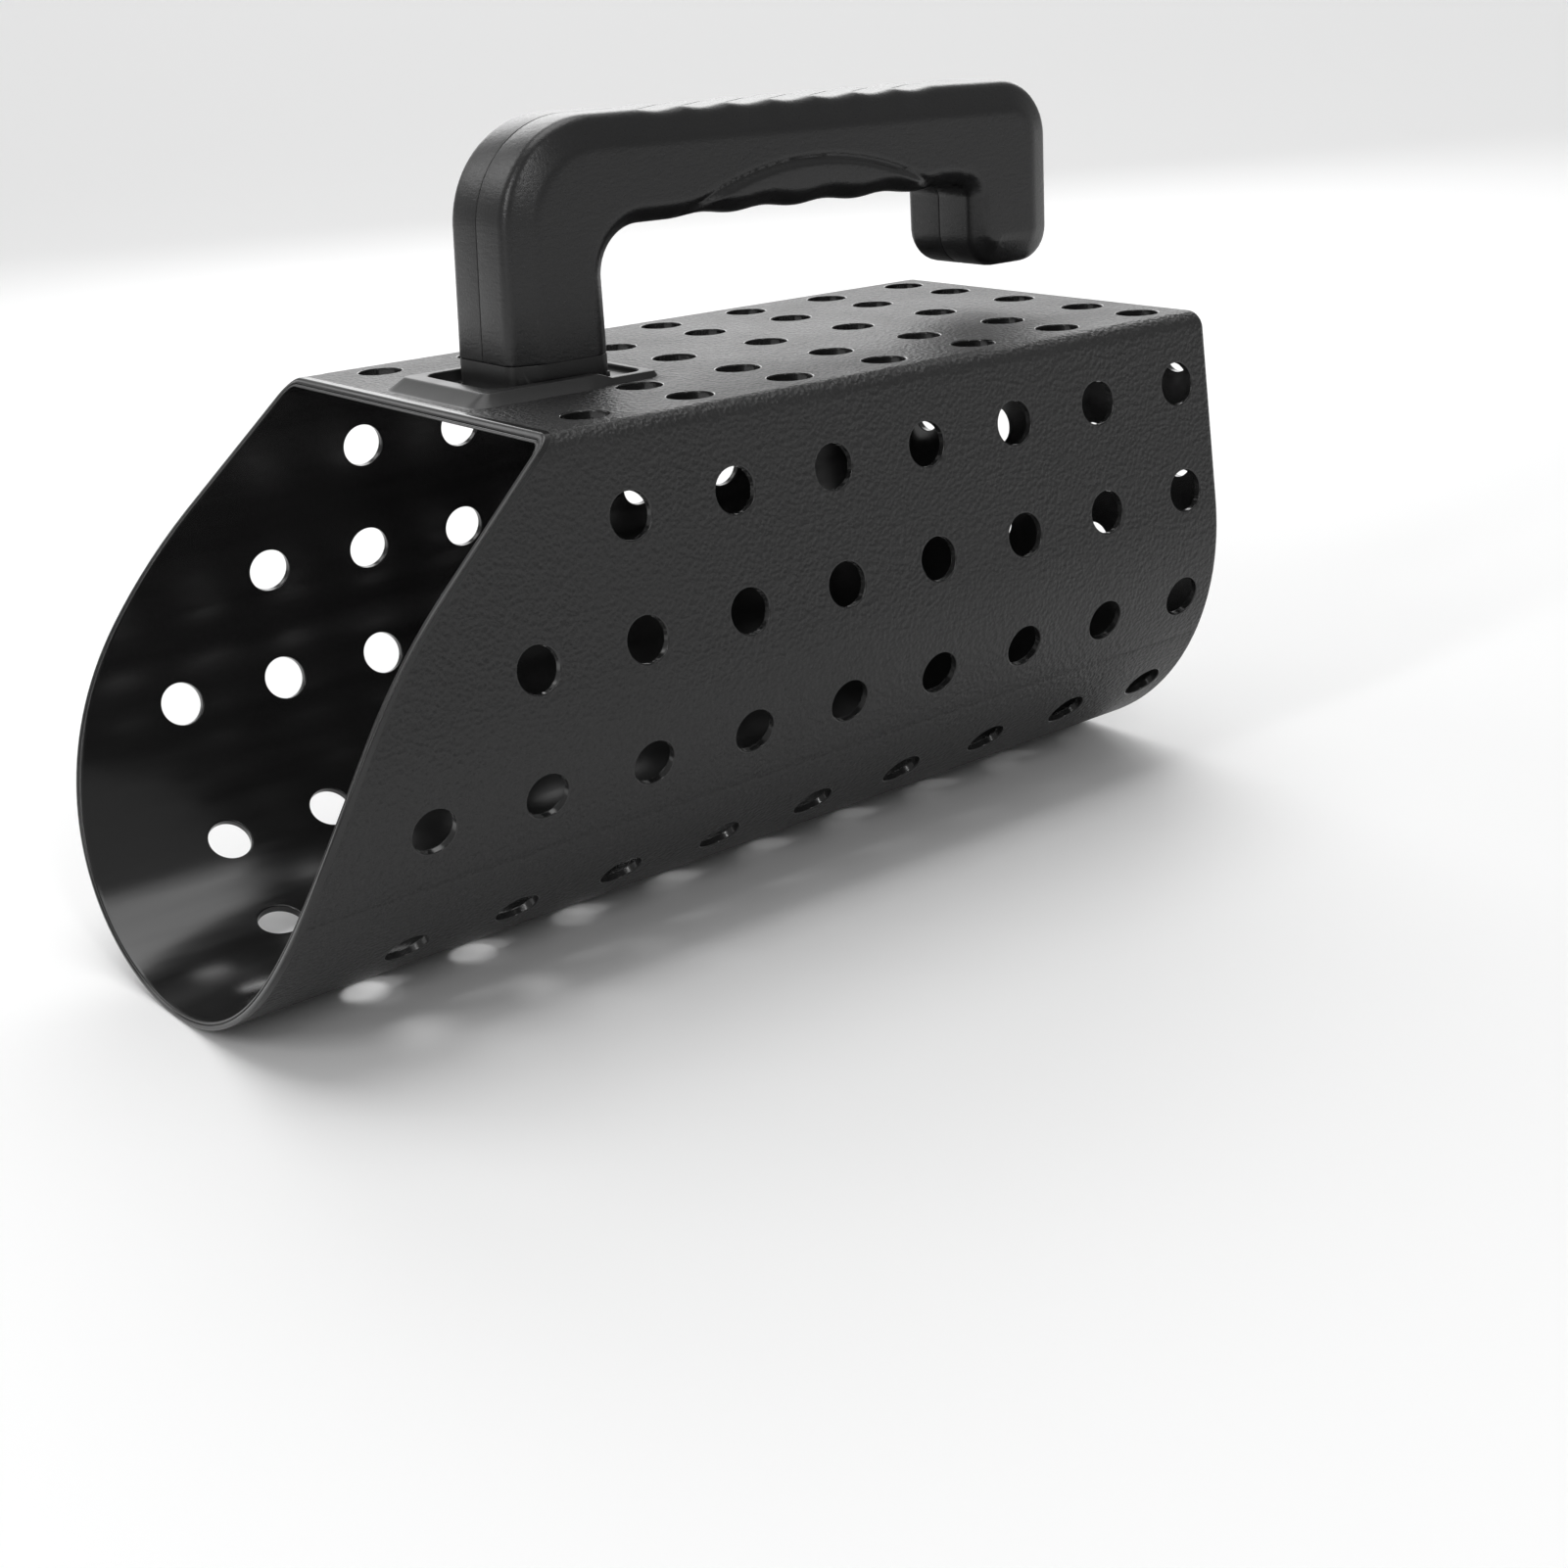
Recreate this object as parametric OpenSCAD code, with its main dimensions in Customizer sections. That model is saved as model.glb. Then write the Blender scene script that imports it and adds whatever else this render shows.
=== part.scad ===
// Beach sand scoop: a half-round sieve trough with a flat deck, and a
// hook-shaped handle whose foot slides and locks in a socket on the deck.
//
// Everything is laid out on the deck first: x runs back from hole column 0
// along the deck's centre line, y is across, z is up from the deck's face.
// The whole object is then tipped so that its keel lies level on the ground,
// with the origin under the middle of its box.

/* [Sieve] */
// Distance between two columns of sieve holes
hole_pitch = 24; // [23.6:0.1:24.2]
// Diameter of a sieve hole
hole_d = 9.1; // [8:0.1:9.8]
// Distance from the centre line to the inner deck rows
deck_row_1 = 22.5; // [21.5:0.5:24]
// Distance from the centre line to the outer deck rows
deck_row_2 = 39.7; // [37:0.1:41]
// Depth of the upper side row below the deck, at column 4
side_row_1 = 15.7; // [14:0.1:17]
// Depth of the lower side row below the deck, at column 4
side_row_2 = 38.9; // [36:0.1:40]
// Angle of the upper curved row from the keel, at column 4
curve_row_1 = 75.3; // [74:0.1:76]
// Angle of the middle curved row from the keel, at column 4
curve_row_2 = 46.2; // [44:0.1:48]
// Angle of the lowest curved row from the keel, at column 4
curve_row_3 = 19; // [17:0.1:21]

/* [Scoop body] */
// Wall thickness of the moulding
wall = 1.7; // [1.5:0.1:2.6]
// Where the deck's front edge lies
mouth_x = 9.4; // [8:0.1:11]
// Where the lower lip ends
lip_x = -56.2; // [-60:0.1:-54]
// Where the rear wall's outer face lies
rear_x = 178.3; // [177.6:0.1:180]
// Radius of the round bottom at the lip
lip_r = 57.2; // [56:0.1:58]
// Radius of the round bottom at the rear wall
rear_r = 55; // [54:0.1:55.6]
// Depth of the round bottom's axis below the deck, at the lip
lip_axis = 52.7; // [51:0.1:54]
// Depth of the round bottom's axis below the deck, at the rear wall
rear_axis = 47.2; // [46:0.1:48]
// Lean of the side walls from upright
side_lean = 6.4; // [5:0.1:8]
// Radius along the deck's long edges
deck_edge_r = 4; // [3:0.1:5]
// Slope of the mouth's upper, straight stretch, from upright
mouth_lean = 47.2; // [44:0.1:50]
// Depth at which the mouth's edge starts to curve down
mouth_bend = 24; // [20:0.5:28]

/* [Socket] */
// Front end of the recess between the cheeks
recess_front = 20; // [19:0.1:21]
// Rear end of the recess
recess_rear = 54.9; // [54:0.1:56]
// Half the width of the recess
recess_half_w = 14; // [13.8:0.1:14.4]
// Half the width of the slot through the deck
slot_half_w = 11.8; // [11:0.1:12]
// Height of the cheeks
cheek_h = 2.4; // [2:0.1:3]
// Height of the low rim behind the cheeks
rim_h = 1.2; // [1:0.1:1.6]
// Thickness of the cheeks at the top
cheek_w = 2.2; // [2:0.1:2.6]

/* [Handle] */
// Front face of the post
post_front = 27.4; // [27.2:0.1:27.8]
// How far the post's front face comes forward towards its foot
post_flare = 1.2; // [0:0.1:1.2]
// Rear face of the post
post_rear = 49.2; // [48.4:0.1:49.2]
// Half the handle's width
grip_half_w = 12.7; // [12.4:0.1:12.8]
// Top of the grip above the deck, at the front
grip_top = 51.4; // [50:0.1:53]
// Fall of the grip's top from the front to the rear
grip_fall = 1.9; // [1:0.1:3]
// Thickness of the grip
grip_thick = 21.9; // [21:0.1:23]
// Front face of the hanging toe
toe_front = 146; // [145:0.1:147]
// Rear face of the hanging toe
toe_rear = 169.4; // [168.6:0.1:170.4]
// Underside of the toe above the deck
toe_bottom = 9.9; // [9:0.1:11]
// Radius of the front bend
bend_r = 21.6; // [21:0.1:22.4]
// Radius of the rear bend
heel_r = 12.5; // [11:0.1:13.5]
// Radius of the toe's lower corners
toe_r = 7.5; // [6.8:0.1:8]
// Radius inside the front bend
crook_r = 9.6; // [9:0.1:10.4]
// Depth of the finger bumps
bump_h = 0.7; // [0.4:0.1:1.2]
// Spacing of the finger bumps
bump_pitch = 16; // [15:0.1:16]
// Wall of the handle's shells
shell_wall = 2.6; // [2.4:0.1:2.8]
// Height above the deck at which the shells end and the foot shows
shell_foot_z = 5.4; // [4.8:0.1:6]

/* [Hidden] */
$fn = 48;
eps = 0.01;

// Tip of the deck that lays the keel level, and the shift to the origin
tip = atan((lip_axis + lip_r - rear_axis - rear_r) / (rear_x - lip_x));
keel_z = lip_x * sin(tip) + (lip_axis + lip_r) * cos(tip);
lip_end = lip_x * cos(tip) - (lip_axis + lip_r) * sin(tip);
middle_x = (lip_end + rear_x * cos(tip)) / 2;

// Fall of the whole outer size towards the rear wall
function at(x, front, rear) = front + (rear - front) * (x - lip_x) / (rear_x - lip_x);
function axis_depth(x) = at(x, lip_axis, rear_axis);
function bottom_r(x) = at(x, lip_r, rear_r);

row_rise = 0.46;        // rise of the side rows from one column to the next
curve_rows = [curve_row_1, curve_row_2, curve_row_3];
curve_turn = [-0.14, 0.55, 0.1];    // turn of each curved row from column to column
last_col = 7;           // the column next to the rear wall
rear_edge = 1.8;        // chamfer around the rear wall
rear_rows = [9.3, 32.9, 56.5];      // depths of the rear wall's holes below the deck
rear_cols = [16.8, 43];             // their distances from the centre line
rear_low_row = 80.1;    // depth of the single hole at the bottom of the rear wall
over = 2;               // how far a drill or cutter stands out of what it cuts

cheek_end = 44;         // where the cheeks drop to the low rim
cheek_ramp = 3.2;       // length of the level land in front of the recess
cheek_slope = 2.8;      // run of the cheeks' sloping sides
cheek_front = 4.1;      // run of the slope in front
rim_w = 1.6;            // width of the low rim at the top
rim_slope = 1.2;        // run of the low rim's sloping sides

bevel_w = 2.6;          // depth of the bevel in from the handle's flat side
bevel_out = 6.2;        // bevel on the handle's outer contour
bevel_in = 3;           // bevel on the inner contour, towards the fingers
corner_r = 3;           // fillet between grip and toe
travel = 6;             // slide of the foot in its slot
gap = 0.25;             // running clearance of the foot
lug_t = 2.7;            // thickness of the foot's lugs and tongue
tongue_half_w = 9;
neck_inset = 0.5;       // how far the neck stands back from the post's front face
bump_start = 66;        // where the finger bumps start
bump_count = 5;
grip_x0 = 60;           // first drawn point of the grip's level stretch
grip_x_spare = 4;       // the last one lies that far in front of the toe
n_grip = 40;            // steps along the grip

grip_bottom = grip_top - grip_thick;
// The grip's top and underside both fall towards the rear
fall = grip_fall / (toe_rear - post_front - bend_r);
function top_z(x) = grip_top - fall * (x - post_front - bend_r);
function under_z(x) = grip_bottom - fall * (x - post_rear - crook_r);

// Screws: [x, z] of the three in the grip and of the two in the foot
shell_screw_at = [[45.5, 39.5], [100, 39.5], [157.7, 21.5]];
foot_screw_at = [[38.3, 11.5], [38.3, 20]];
screw_r = 1.45;
screw_head_r = 2.9;
screw_head_h = 2.2;
screw_sink = 0.4;       // how far the heads lie below the handle's side
tight = 0.05;           // extra radius of a hole that takes the screw's thread
loose = 0.25;           // extra radius of a clearance hole
shell_screw_tip = -8.5;
foot_screw_tip = -10.8;
screw_seat = grip_half_w - screw_head_h - screw_sink;
boss_r = 3.4;
spigot_top = 25;        // top of the foot's spigot inside the post
spigot_gap = 0.1;       // room around the spigot
pad_y = 8.5;            // inner face of the post's thick sides

function arc(c, r, a0, a1, n = 8) = [for (i = [0:n]) let (a = a0 + (a1 - a0) * i / n)
    [c[0] + r * cos(a), c[1] + r * sin(a)]];

// Cross-section of the trough: round bottom, leaning sides, rounded deck edges
function section(x, inset) = let (
        r = bottom_r(x) - inset,
        edge = max(deck_edge_r - inset, 0.6),
        edge_z = -inset - edge,
        edge_y = (r - edge - (axis_depth(x) + edge_z) * sin(side_lean)) / cos(side_lean),
        right = concat(arc([0, -axis_depth(x)], r, -90, side_lean, 28),
                       arc([edge_y, edge_z], edge, side_lean, 90, 6)))
    concat(right, [for (i = [len(right) - 1:-1:1]) [-right[i][0], right[i][1]]]);

module plate(x, inset, t = eps) {
    translate([x, 0, 0]) rotate([90, 0, 90]) linear_extrude(t) polygon(section(x, inset));
}

// Side view of what the slanting mouth cuts away
module mouth_cut() {
    bend = [mouth_x - mouth_bend * tan(mouth_lean), -mouth_bend];
    r = (bend[0] - lip_x) / (1 - cos(mouth_lean));
    centre = [lip_x + r, bend[1] - r * sin(mouth_lean)];
    far = lip_x - 30;
    up = 10;
    reach = lip_r + 20;
    outline = concat(
        [[far, up], [mouth_x + up * tan(mouth_lean), up]],
        arc(centre, r, 180 - mouth_lean, 180, 14),
        [[lip_x, centre[1] - up], [far, centre[1] - up]]);
    translate([0, reach, 0]) rotate([90, 0, 0]) linear_extrude(2 * reach) polygon(outline);
}

// The drill for a sieve hole, pointing into the wall from its outer face
module drill() {
    translate([0, 0, -wall - over]) cylinder(d = hole_d, h = wall + 2 * over);
}

module hole_in_deck(x, y) {
    translate([x, y, 0]) drill();
}

// A hole through the leaning side, at a depth below the deck
module hole_in_side(x, depth, side) {
    y = (bottom_r(x) - (axis_depth(x) - depth) * sin(side_lean)) / cos(side_lean);
    translate([x, side * y, -depth]) rotate([-side * (90 - side_lean), 0, 0]) drill();
}

// A hole through the round bottom, at an angle from the keel
module hole_in_curve(x, angle, side) {
    translate([x, 0, -axis_depth(x)]) rotate([side * angle, 0, 0])
        translate([0, 0, -bottom_r(x)]) rotate([180, 0, 0]) drill();
}

module hole_in_rear(y, depth) {
    translate([rear_x, y, -depth]) rotate([0, 90, 0]) drill();
}

module sieve() {
    p = hole_pitch;
    for (side = [-1, 1]) {
        for (k = [1:last_col]) {
            hole_in_deck(k * p, side * deck_row_2);
            hole_in_side(k * p, side_row_1 - row_rise * (k - 4), side);
        }
        for (k = [2:last_col]) hole_in_deck(k * p, side * deck_row_1);
        for (k = [0:last_col]) hole_in_side(k * p, side_row_2 - row_rise * (k - 4), side);
        for (k = [-1:last_col]) for (row = [0:2])
            hole_in_curve(k * p, curve_rows[row] + curve_turn[row] * (k - 4), side);
        for (y = rear_cols) for (z = rear_rows) hole_in_rear(side * y, z);
    }
    hole_in_rear(0, rear_low_row);
    for (k = [3:last_col]) hole_in_deck(k * p, 0);
}

// A low platform with sloping sides
module platform(x0, x1, half_w, h, slope, front) {
    hull() {
        translate([x0, -half_w, 0]) cube([x1 - x0, 2 * half_w, h]);
        translate([x0 - front, -half_w - slope, -1])
            cube([x1 - x0 + front, 2 * (half_w + slope), 1]);
    }
}

module socket_frame() {
    half_w = recess_half_w + cheek_w;
    platform(recess_front - cheek_ramp, cheek_end, half_w, cheek_h, cheek_slope, cheek_front);
    platform(cheek_end - 1, recess_rear + rim_w, half_w, rim_h, rim_slope, rim_slope);
}

module socket_cuts() {
    // Recess between the cheeks, down to the deck's face
    translate([recess_front, -recess_half_w, 0])
        cube([recess_rear - recess_front, 2 * recess_half_w, cheek_h + 1]);
    // Window that the foot's lugs pass through, then the narrower slot
    translate([recess_front, -recess_half_w, -wall - 1])
        cube([post_front + gap - recess_front, 2 * recess_half_w, wall + 2]);
    translate([post_front, -slot_half_w, -wall - 1])
        cube([post_rear + gap - post_front, 2 * slot_half_w, wall + 2]);
}

module scoop_body() {
    color("#1c1c1e") place() difference() {
        union() {
            hull() {
                plate(lip_x - over, 0);
                plate(rear_x - rear_edge, 0);
                plate(rear_x - eps, rear_edge);
            }
            socket_frame();
        }
        hull() {
            plate(lip_x - 2 * over, wall);
            plate(rear_x - wall, wall);
        }
        mouth_cut();
        sieve();
        socket_cuts();
    }
}

// The handle in side view: an outer chain of points over its top and heel,
// and an inner chain along the fingers' side, which meet under the toe. Each
// point has a partner in the other chain. inset draws a chain inwards.
function grip_x(i) = grip_x0 + (toe_front - grip_x_spare - grip_x0) * i / n_grip;
function finger_wave(x) = let (u = (x - bump_start) / bump_pitch)
    u < 0 || u > bump_count ? 0 : bump_h * (1 - cos(360 * u)) / 2;
function toe_corner(x, inset, turn) = arc([x, toe_bottom + toe_r], toe_r - inset,
                                          turn > 0 ? 0 : 180, turn > 0 ? -90 : 270, 6);
function outer_chain(inset) = concat(
    [[post_front - post_flare + inset, shell_foot_z]],
    arc([post_front + bend_r, grip_top - bend_r], bend_r - inset, 180, 90, 12),
    [for (i = [0:n_grip]) [grip_x(i), top_z(grip_x(i)) - inset]],
    arc([toe_rear - heel_r, top_z(toe_rear) - heel_r], heel_r - inset, 90, 0, 8),
    toe_corner(toe_rear - toe_r, inset, 1));
function inner_chain(inset, under) = concat(
    [[post_rear - inset, shell_foot_z]],
    arc([post_rear + crook_r, grip_bottom - crook_r], crook_r + inset, 180, 90, 12),
    [for (i = [0:n_grip]) [grip_x(i), under_z(grip_x(i)) + finger_wave(grip_x(i)) + inset]],
    arc([toe_front - corner_r, under_z(toe_front) - corner_r], corner_r + inset, 90, 0, 8),
    [for (i = [0:6]) let (a = 180 + 15 * i, r = toe_r - inset + (inset - under) * i / 6)
        [toe_front + toe_r + r * cos(a), toe_bottom + toe_r + r * sin(a)]]);

// One half of the handle's outside, from the middle out to its bevelled side
module half_handle() {
    n = len(outer_chain(0));
    function ring(y, out, in_) = concat(
        [for (p = outer_chain(out)) [p[0], y, p[1]]],
        [for (i = [n - 1:-1:0]) let (p = inner_chain(in_, out)[i]) [p[0], y, p[1]]]);
    m = 2 * n;
    rings = concat(ring(0, 0, 0), ring(-grip_half_w + bevel_w, 0, 0),
                   ring(-grip_half_w, bevel_out, bevel_in));
    polyhedron(rings, concat(
        [for (i = [0:n - 2]) each [[i + 1, i, m - 1 - i], [i + 1, m - 1 - i, m - 2 - i]]],
        [for (i = [0:n - 2]) each [[2 * m + i, 2 * m + i + 1, 3 * m - 1 - i],
                                   [2 * m + i + 1, 3 * m - 2 - i, 3 * m - 1 - i]]],
        [for (r = [0, m], i = [0:m - 1]) let (j = (i + 1) % m)
            each [[r + i, r + j, r + m + j], [r + i, r + m + j, r + m + i]]]));
}

module across(at, y0, y1, r) {
    translate([at[0], y1, at[1]]) rotate([90, 0, 0]) cylinder(r = r, h = y1 - y0);
}

// Hollow half shell on the -y side, with its screw bosses and, in the post,
// a thicker side for the foot's screws
module half_shell() {
    inner = inner_chain(shell_wall, shell_wall);
    inside = concat([[post_front - post_flare + shell_wall, 0]], outer_chain(shell_wall),
                    [for (i = [len(inner) - 1:-1:0]) inner[i]],
                    [[post_rear - shell_wall, 0]]);
    difference() {
        half_handle();
        difference() {
            translate([0, 1, 0]) rotate([90, 0, 0]) linear_extrude(grip_half_w - shell_wall + 1)
                polygon(inside);
            for (at = shell_screw_at) across(at, -grip_half_w, 2, boss_r);
            translate([post_front - post_flare, -grip_half_w, 0])
                cube([post_rear - post_front + post_flare, grip_half_w - pad_y, spigot_top]);
        }
    }
}

module handle_left_shell() {
    color("#222224") place() difference() {
        half_shell();
        // Blind holes that the screws cut their threads in
        for (at = shell_screw_at) across(at, shell_screw_tip - 0.5, 1, screw_r + tight);
        for (at = foot_screw_at) across(at, foot_screw_tip - 0.2, 1, screw_r + tight);
    }
}

module handle_right_shell() {
    color("#222224") place() difference() {
        mirror([0, 1, 0]) half_shell();
        // Clearance holes with counterbored seats for the heads
        for (at = concat(shell_screw_at, foot_screw_at)) {
            across(at, -1, grip_half_w + 1, screw_r + loose);
            across(at, screw_seat, grip_half_w + 1, screw_head_r + loose);
        }
    }
}

// A block across the centre line
module block(x0, x1, half_w, z0, z1) {
    translate([x0, -half_w, z0]) cube([x1 - x0, 2 * half_w, z1 - z0]);
}

module handle_foot() {
    lug_z = -wall - gap - lug_t;
    color("#19191b") place() difference() {
        union() {
            // Visible band, flush with the shells
            foot_band();
            // Spigot that fills the post between the shells
            margin = shell_wall + spigot_gap;
            block(post_front + margin, post_rear - margin, pad_y - spigot_gap,
                  shell_foot_z - eps, spigot_top - eps);
            // Neck through the deck
            block(post_front + neck_inset, post_rear, slot_half_w - gap, lug_z, gap + eps);
            // Lugs that pass through the window and lock under the slot's sides
            block(post_front + neck_inset, post_front + travel - 0.1, recess_half_w - gap,
                  lug_z, lug_z + lug_t);
            // Tongue that locks under the deck behind the slot
            block(post_rear - 1, post_rear + travel - 1, tongue_half_w, lug_z, lug_z + lug_t);
        }
        for (at = foot_screw_at) across(at, -grip_half_w, grip_half_w, screw_r + tight);
    }
}

// The foot's visible band has the same bevelled section as the post
module foot_band() {
    inner = grip_half_w - bevel_w;
    front = post_front - post_flare;
    corners = [[front, inner], [front + bevel_out, grip_half_w],
               [post_rear - bevel_in, grip_half_w], [post_rear, inner]];
    translate([0, 0, gap]) linear_extrude(shell_foot_z - gap)
        polygon(concat(corners, [for (i = [3:-1:0]) [corners[i][0], -corners[i][1]]]));
}

// Pan-head screw driven from the far side, with its tip at y_tip
module screw(at, y_tip) {
    across(at, y_tip, screw_seat + eps, screw_r);
    across(at, screw_seat, screw_seat + screw_head_h, screw_head_r);
}

module shell_screws() {
    color("silver") place() for (at = shell_screw_at) screw(at, shell_screw_tip);
}

module foot_screws() {
    color("silver") place() for (at = foot_screw_at) screw(at, foot_screw_tip);
}

// Tips the deck so that the keel lies level, with the origin below the middle
module place() {
    translate([-middle_x, 0, keel_z]) rotate([0, tip, 0]) children();
}

scoop_body();
handle_left_shell();
handle_right_shell();
handle_foot();
shell_screws();
foot_screws();
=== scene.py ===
"""Beach sand scoop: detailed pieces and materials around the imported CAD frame.

The scoop and the handle are worked out in millimetres in the deck's own frame, as in
the CAD part: x runs back from hole column 0 along the deck's centre line, y is across,
z is up from the deck's face. to_row() takes such points to the row frame, in metres.
"""
import math

import bpy
import numpy as np
from mathutils import Matrix, Vector
from mathutils.geometry import delaunay_2d_cdt


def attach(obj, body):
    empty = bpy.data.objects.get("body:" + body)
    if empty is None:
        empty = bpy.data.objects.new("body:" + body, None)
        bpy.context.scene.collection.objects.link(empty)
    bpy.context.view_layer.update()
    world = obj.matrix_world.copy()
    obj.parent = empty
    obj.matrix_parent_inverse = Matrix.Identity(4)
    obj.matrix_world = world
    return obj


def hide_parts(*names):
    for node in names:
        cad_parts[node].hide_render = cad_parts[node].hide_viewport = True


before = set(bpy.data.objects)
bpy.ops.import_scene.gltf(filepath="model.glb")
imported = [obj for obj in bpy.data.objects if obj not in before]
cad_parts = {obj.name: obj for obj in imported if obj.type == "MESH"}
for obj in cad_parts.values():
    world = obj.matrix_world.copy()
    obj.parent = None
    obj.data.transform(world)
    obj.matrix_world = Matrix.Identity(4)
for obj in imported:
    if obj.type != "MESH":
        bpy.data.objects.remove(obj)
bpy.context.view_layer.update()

MM = 0.001
GRAINED, GLOSSY, SMOOTH, SATIN = range(4)  # the scoop's finishes, in the order of its materials

# ---------------- driving sizes, mm
HOLE_PITCH = 24.0
HOLE_R = 4.55
DECK_ROWS = ((0.0, 3), (22.5, 2), (39.7, 1))  # distance from the centre, first column
SIDE_ROWS = ((15.7, 1), (38.9, 0))  # depth at column 4, first column
ROW_RISE = 0.46
CURVE_ROWS = ((75.3, -0.14), (46.2, 0.55), (19.0, 0.1))  # angle at column 4, turn a column
LAST_COLUMN = 7
REAR_COLUMNS = (16.8, 43.0)
REAR_ROWS = (9.3, 32.9, 56.5)
REAR_LOW_ROW = 80.1

WALL = 1.7
MOUTH_X, LIP_X, REAR_X = 9.4, -56.2, 178.3
LIP_R, REAR_R = 57.2, 55.0
LIP_AXIS, REAR_AXIS = 52.7, 47.2
SIDE_LEAN = math.radians(6.4)
DECK_EDGE_R = 4.0
MOUTH_LEAN = math.radians(47.2)
MOUTH_BEND = 24.0
REAR_EDGE_R = 1.8
PARTING_ANGLE = 63.0  # faint mould line along each side

HOLE_RIM = 0.3  # fillet around each hole
GUARD = 0.25  # flat ring next to a fillet
REAR_RIM, REAR_GUARD, REAR_FILLET = 0.25, 0.05, 0.12  # the rear holes lie close to the sides
RIM_BAND = 1.5  # smooth band along the mouth

RECESS_X = (20.0, 54.9)
RECESS_HALF_W = 14.0
SLOT_HALF_W = 11.8
WINDOW_REAR, SLOT_REAR = 27.65, 49.45
CHEEK_W, CHEEK_H, RIM_H, CHEEK_END = 2.2, 2.4, 1.2, 44.0

POST_FRONT, POST_REAR = 27.4, 49.2
POST_FLARE = 1.2  # the post's front comes forward towards its foot
GRIP_HALF_W = 12.7
GRIP_TOP, GRIP_FALL, GRIP_THICK = 51.4, 1.9, 21.9
TOE_FRONT, TOE_REAR, TOE_BOTTOM = 146.0, 169.4, 9.9
BEND_R, HEEL_R, TOE_R, CROOK_R, CORNER_R = 21.6, 12.5, 7.5, 9.6, 3.0
BUMP_H, BUMP_PITCH, BUMP_START, BUMPS = 0.7, 16.0, 66.0, 5
BEVEL_W, BEVEL_OUT, BEVEL_IN = 2.6, 6.2, 3.0
SHELL_FOOT_Z = 5.4
SCREWS_AT = ((45.5, 39.5), (100.0, 39.5), (157.7, 21.5))
FOOT_SCREWS_AT = ((38.3, 11.5), (38.3, 20.0))
SCREW_HEAD_R, SCREW_HEAD_H, SCREW_SINK = 2.9, 2.2, 0.4

# ---------------- deck frame to row frame
TIP = math.atan((LIP_AXIS + LIP_R - REAR_AXIS - REAR_R) / (REAR_X - LIP_X))
KEEL_Z = LIP_X * math.sin(TIP) + (LIP_AXIS + LIP_R) * math.cos(TIP)
LIP_END = LIP_X * math.cos(TIP) - (LIP_AXIS + LIP_R) * math.sin(TIP)
MIDDLE_X = (LIP_END + REAR_X * math.cos(TIP)) / 2
TO_ROW = np.array([[math.cos(TIP), 0, math.sin(TIP)], [0, 1, 0], [-math.sin(TIP), 0, math.cos(TIP)]])


def to_row(points):
    """Points in the deck's frame, in mm, as points in the row frame, in metres."""
    return (np.asarray(points, float) @ TO_ROW.T + [-MIDDLE_X, 0, KEEL_Z]) * MM


# ---------------- mesh building
class Shape:
    """Collects points and faces in the deck's frame, and makes one mesh of them."""

    def __init__(self):
        self.points = []
        self.normals = []
        self.faces = []
        self.finishes = []

    def add(self, points, normals=None):
        """Adds points, and returns their numbers."""
        start = len(self.points)
        points = np.asarray(points, float)
        self.points.extend(points)
        if normals is None:
            normals = np.zeros_like(points)
        self.normals.extend(np.asarray(normals, float))
        return list(range(start, len(self.points)))

    def face(self, corners, finish=0):
        kept = [c for i, c in enumerate(corners) if c != corners[i - 1]]
        if len(kept) > 2:
            self.faces.append(kept)
            self.finishes.append(finish)

    def band(self, ring_a, ring_b, finish=0, closed=True):
        """Quads between two rings with the same number of points."""
        n = len(ring_a)
        for i in range(n if closed else n - 1):
            j = (i + 1) % n
            self.face([ring_a[i], ring_a[j], ring_b[j], ring_b[i]], finish)

    def bands(self, rings, finish=0, closed=True):
        for a, b in zip(rings, rings[1:]):
            self.band(a, b, finish, closed)

    def patch(self, flat, numbers, edges, keep, finish=0, flip=False):
        """Triangles over points of a flat domain. keep says which centres are inside."""
        flat = np.asarray(flat, float)
        _, _, tris, origin, _, _ = delaunay_2d_cdt(
            [Vector(p) for p in flat], edges, [], 0, 1e-7, True)
        tris = np.array([[origin[c][0] for c in t] for t in tris if all(origin[c] for c in t)])
        inside = keep(flat[tris].mean(axis=1))
        a, b, c = (flat[tris[:, k]] for k in range(3))
        area = (b[:, 0] - a[:, 0]) * (c[:, 1] - a[:, 1]) - (b[:, 1] - a[:, 1]) * (c[:, 0] - a[:, 0])
        for tri, ok, size in zip(tris, inside, area):
            if ok and abs(size) > 1e-9:
                corners = [numbers[k] for k in tri]
                if (size < 0) != flip:
                    corners.reverse()
                self.face(corners, finish)

    def build(self, name, finishes):
        mesh = bpy.data.meshes.new(name)
        mesh.from_pydata(to_row(self.points).tolist(), [], self.faces)
        for finish in finishes:
            mesh.materials.append(finish)
        mesh.polygons.foreach_set("material_index", self.finishes)
        mesh.polygons.foreach_set("use_smooth", [True] * len(self.faces))
        mesh.validate()
        mesh.update()
        normals = np.array(self.normals) @ TO_ROW.T
        if np.abs(normals).max() > 0:
            mesh.normals_split_custom_set_from_vertices(normals.tolist())
        piece = bpy.data.objects.new(name, mesh)
        bpy.context.scene.collection.objects.link(piece)
        return piece


def ring_edges(ring):
    return [(ring[i - 1], ring[i]) for i in range(len(ring))]


def inside_loop(points, loop):
    """Which of the points lie inside a closed outline."""
    loop = np.asarray(loop)
    following = np.roll(loop, -1, axis=0)
    inside = np.zeros(len(points), bool)
    for (x0, y0), (x1, y1) in zip(loop, following):
        crosses = (y0 > points[:, 1]) != (y1 > points[:, 1])
        if y0 != y1:
            reach = x0 + (points[:, 1] - y0) * (x1 - x0) / (y1 - y0)
            inside ^= crosses & (points[:, 0] < reach)
    return inside


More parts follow.
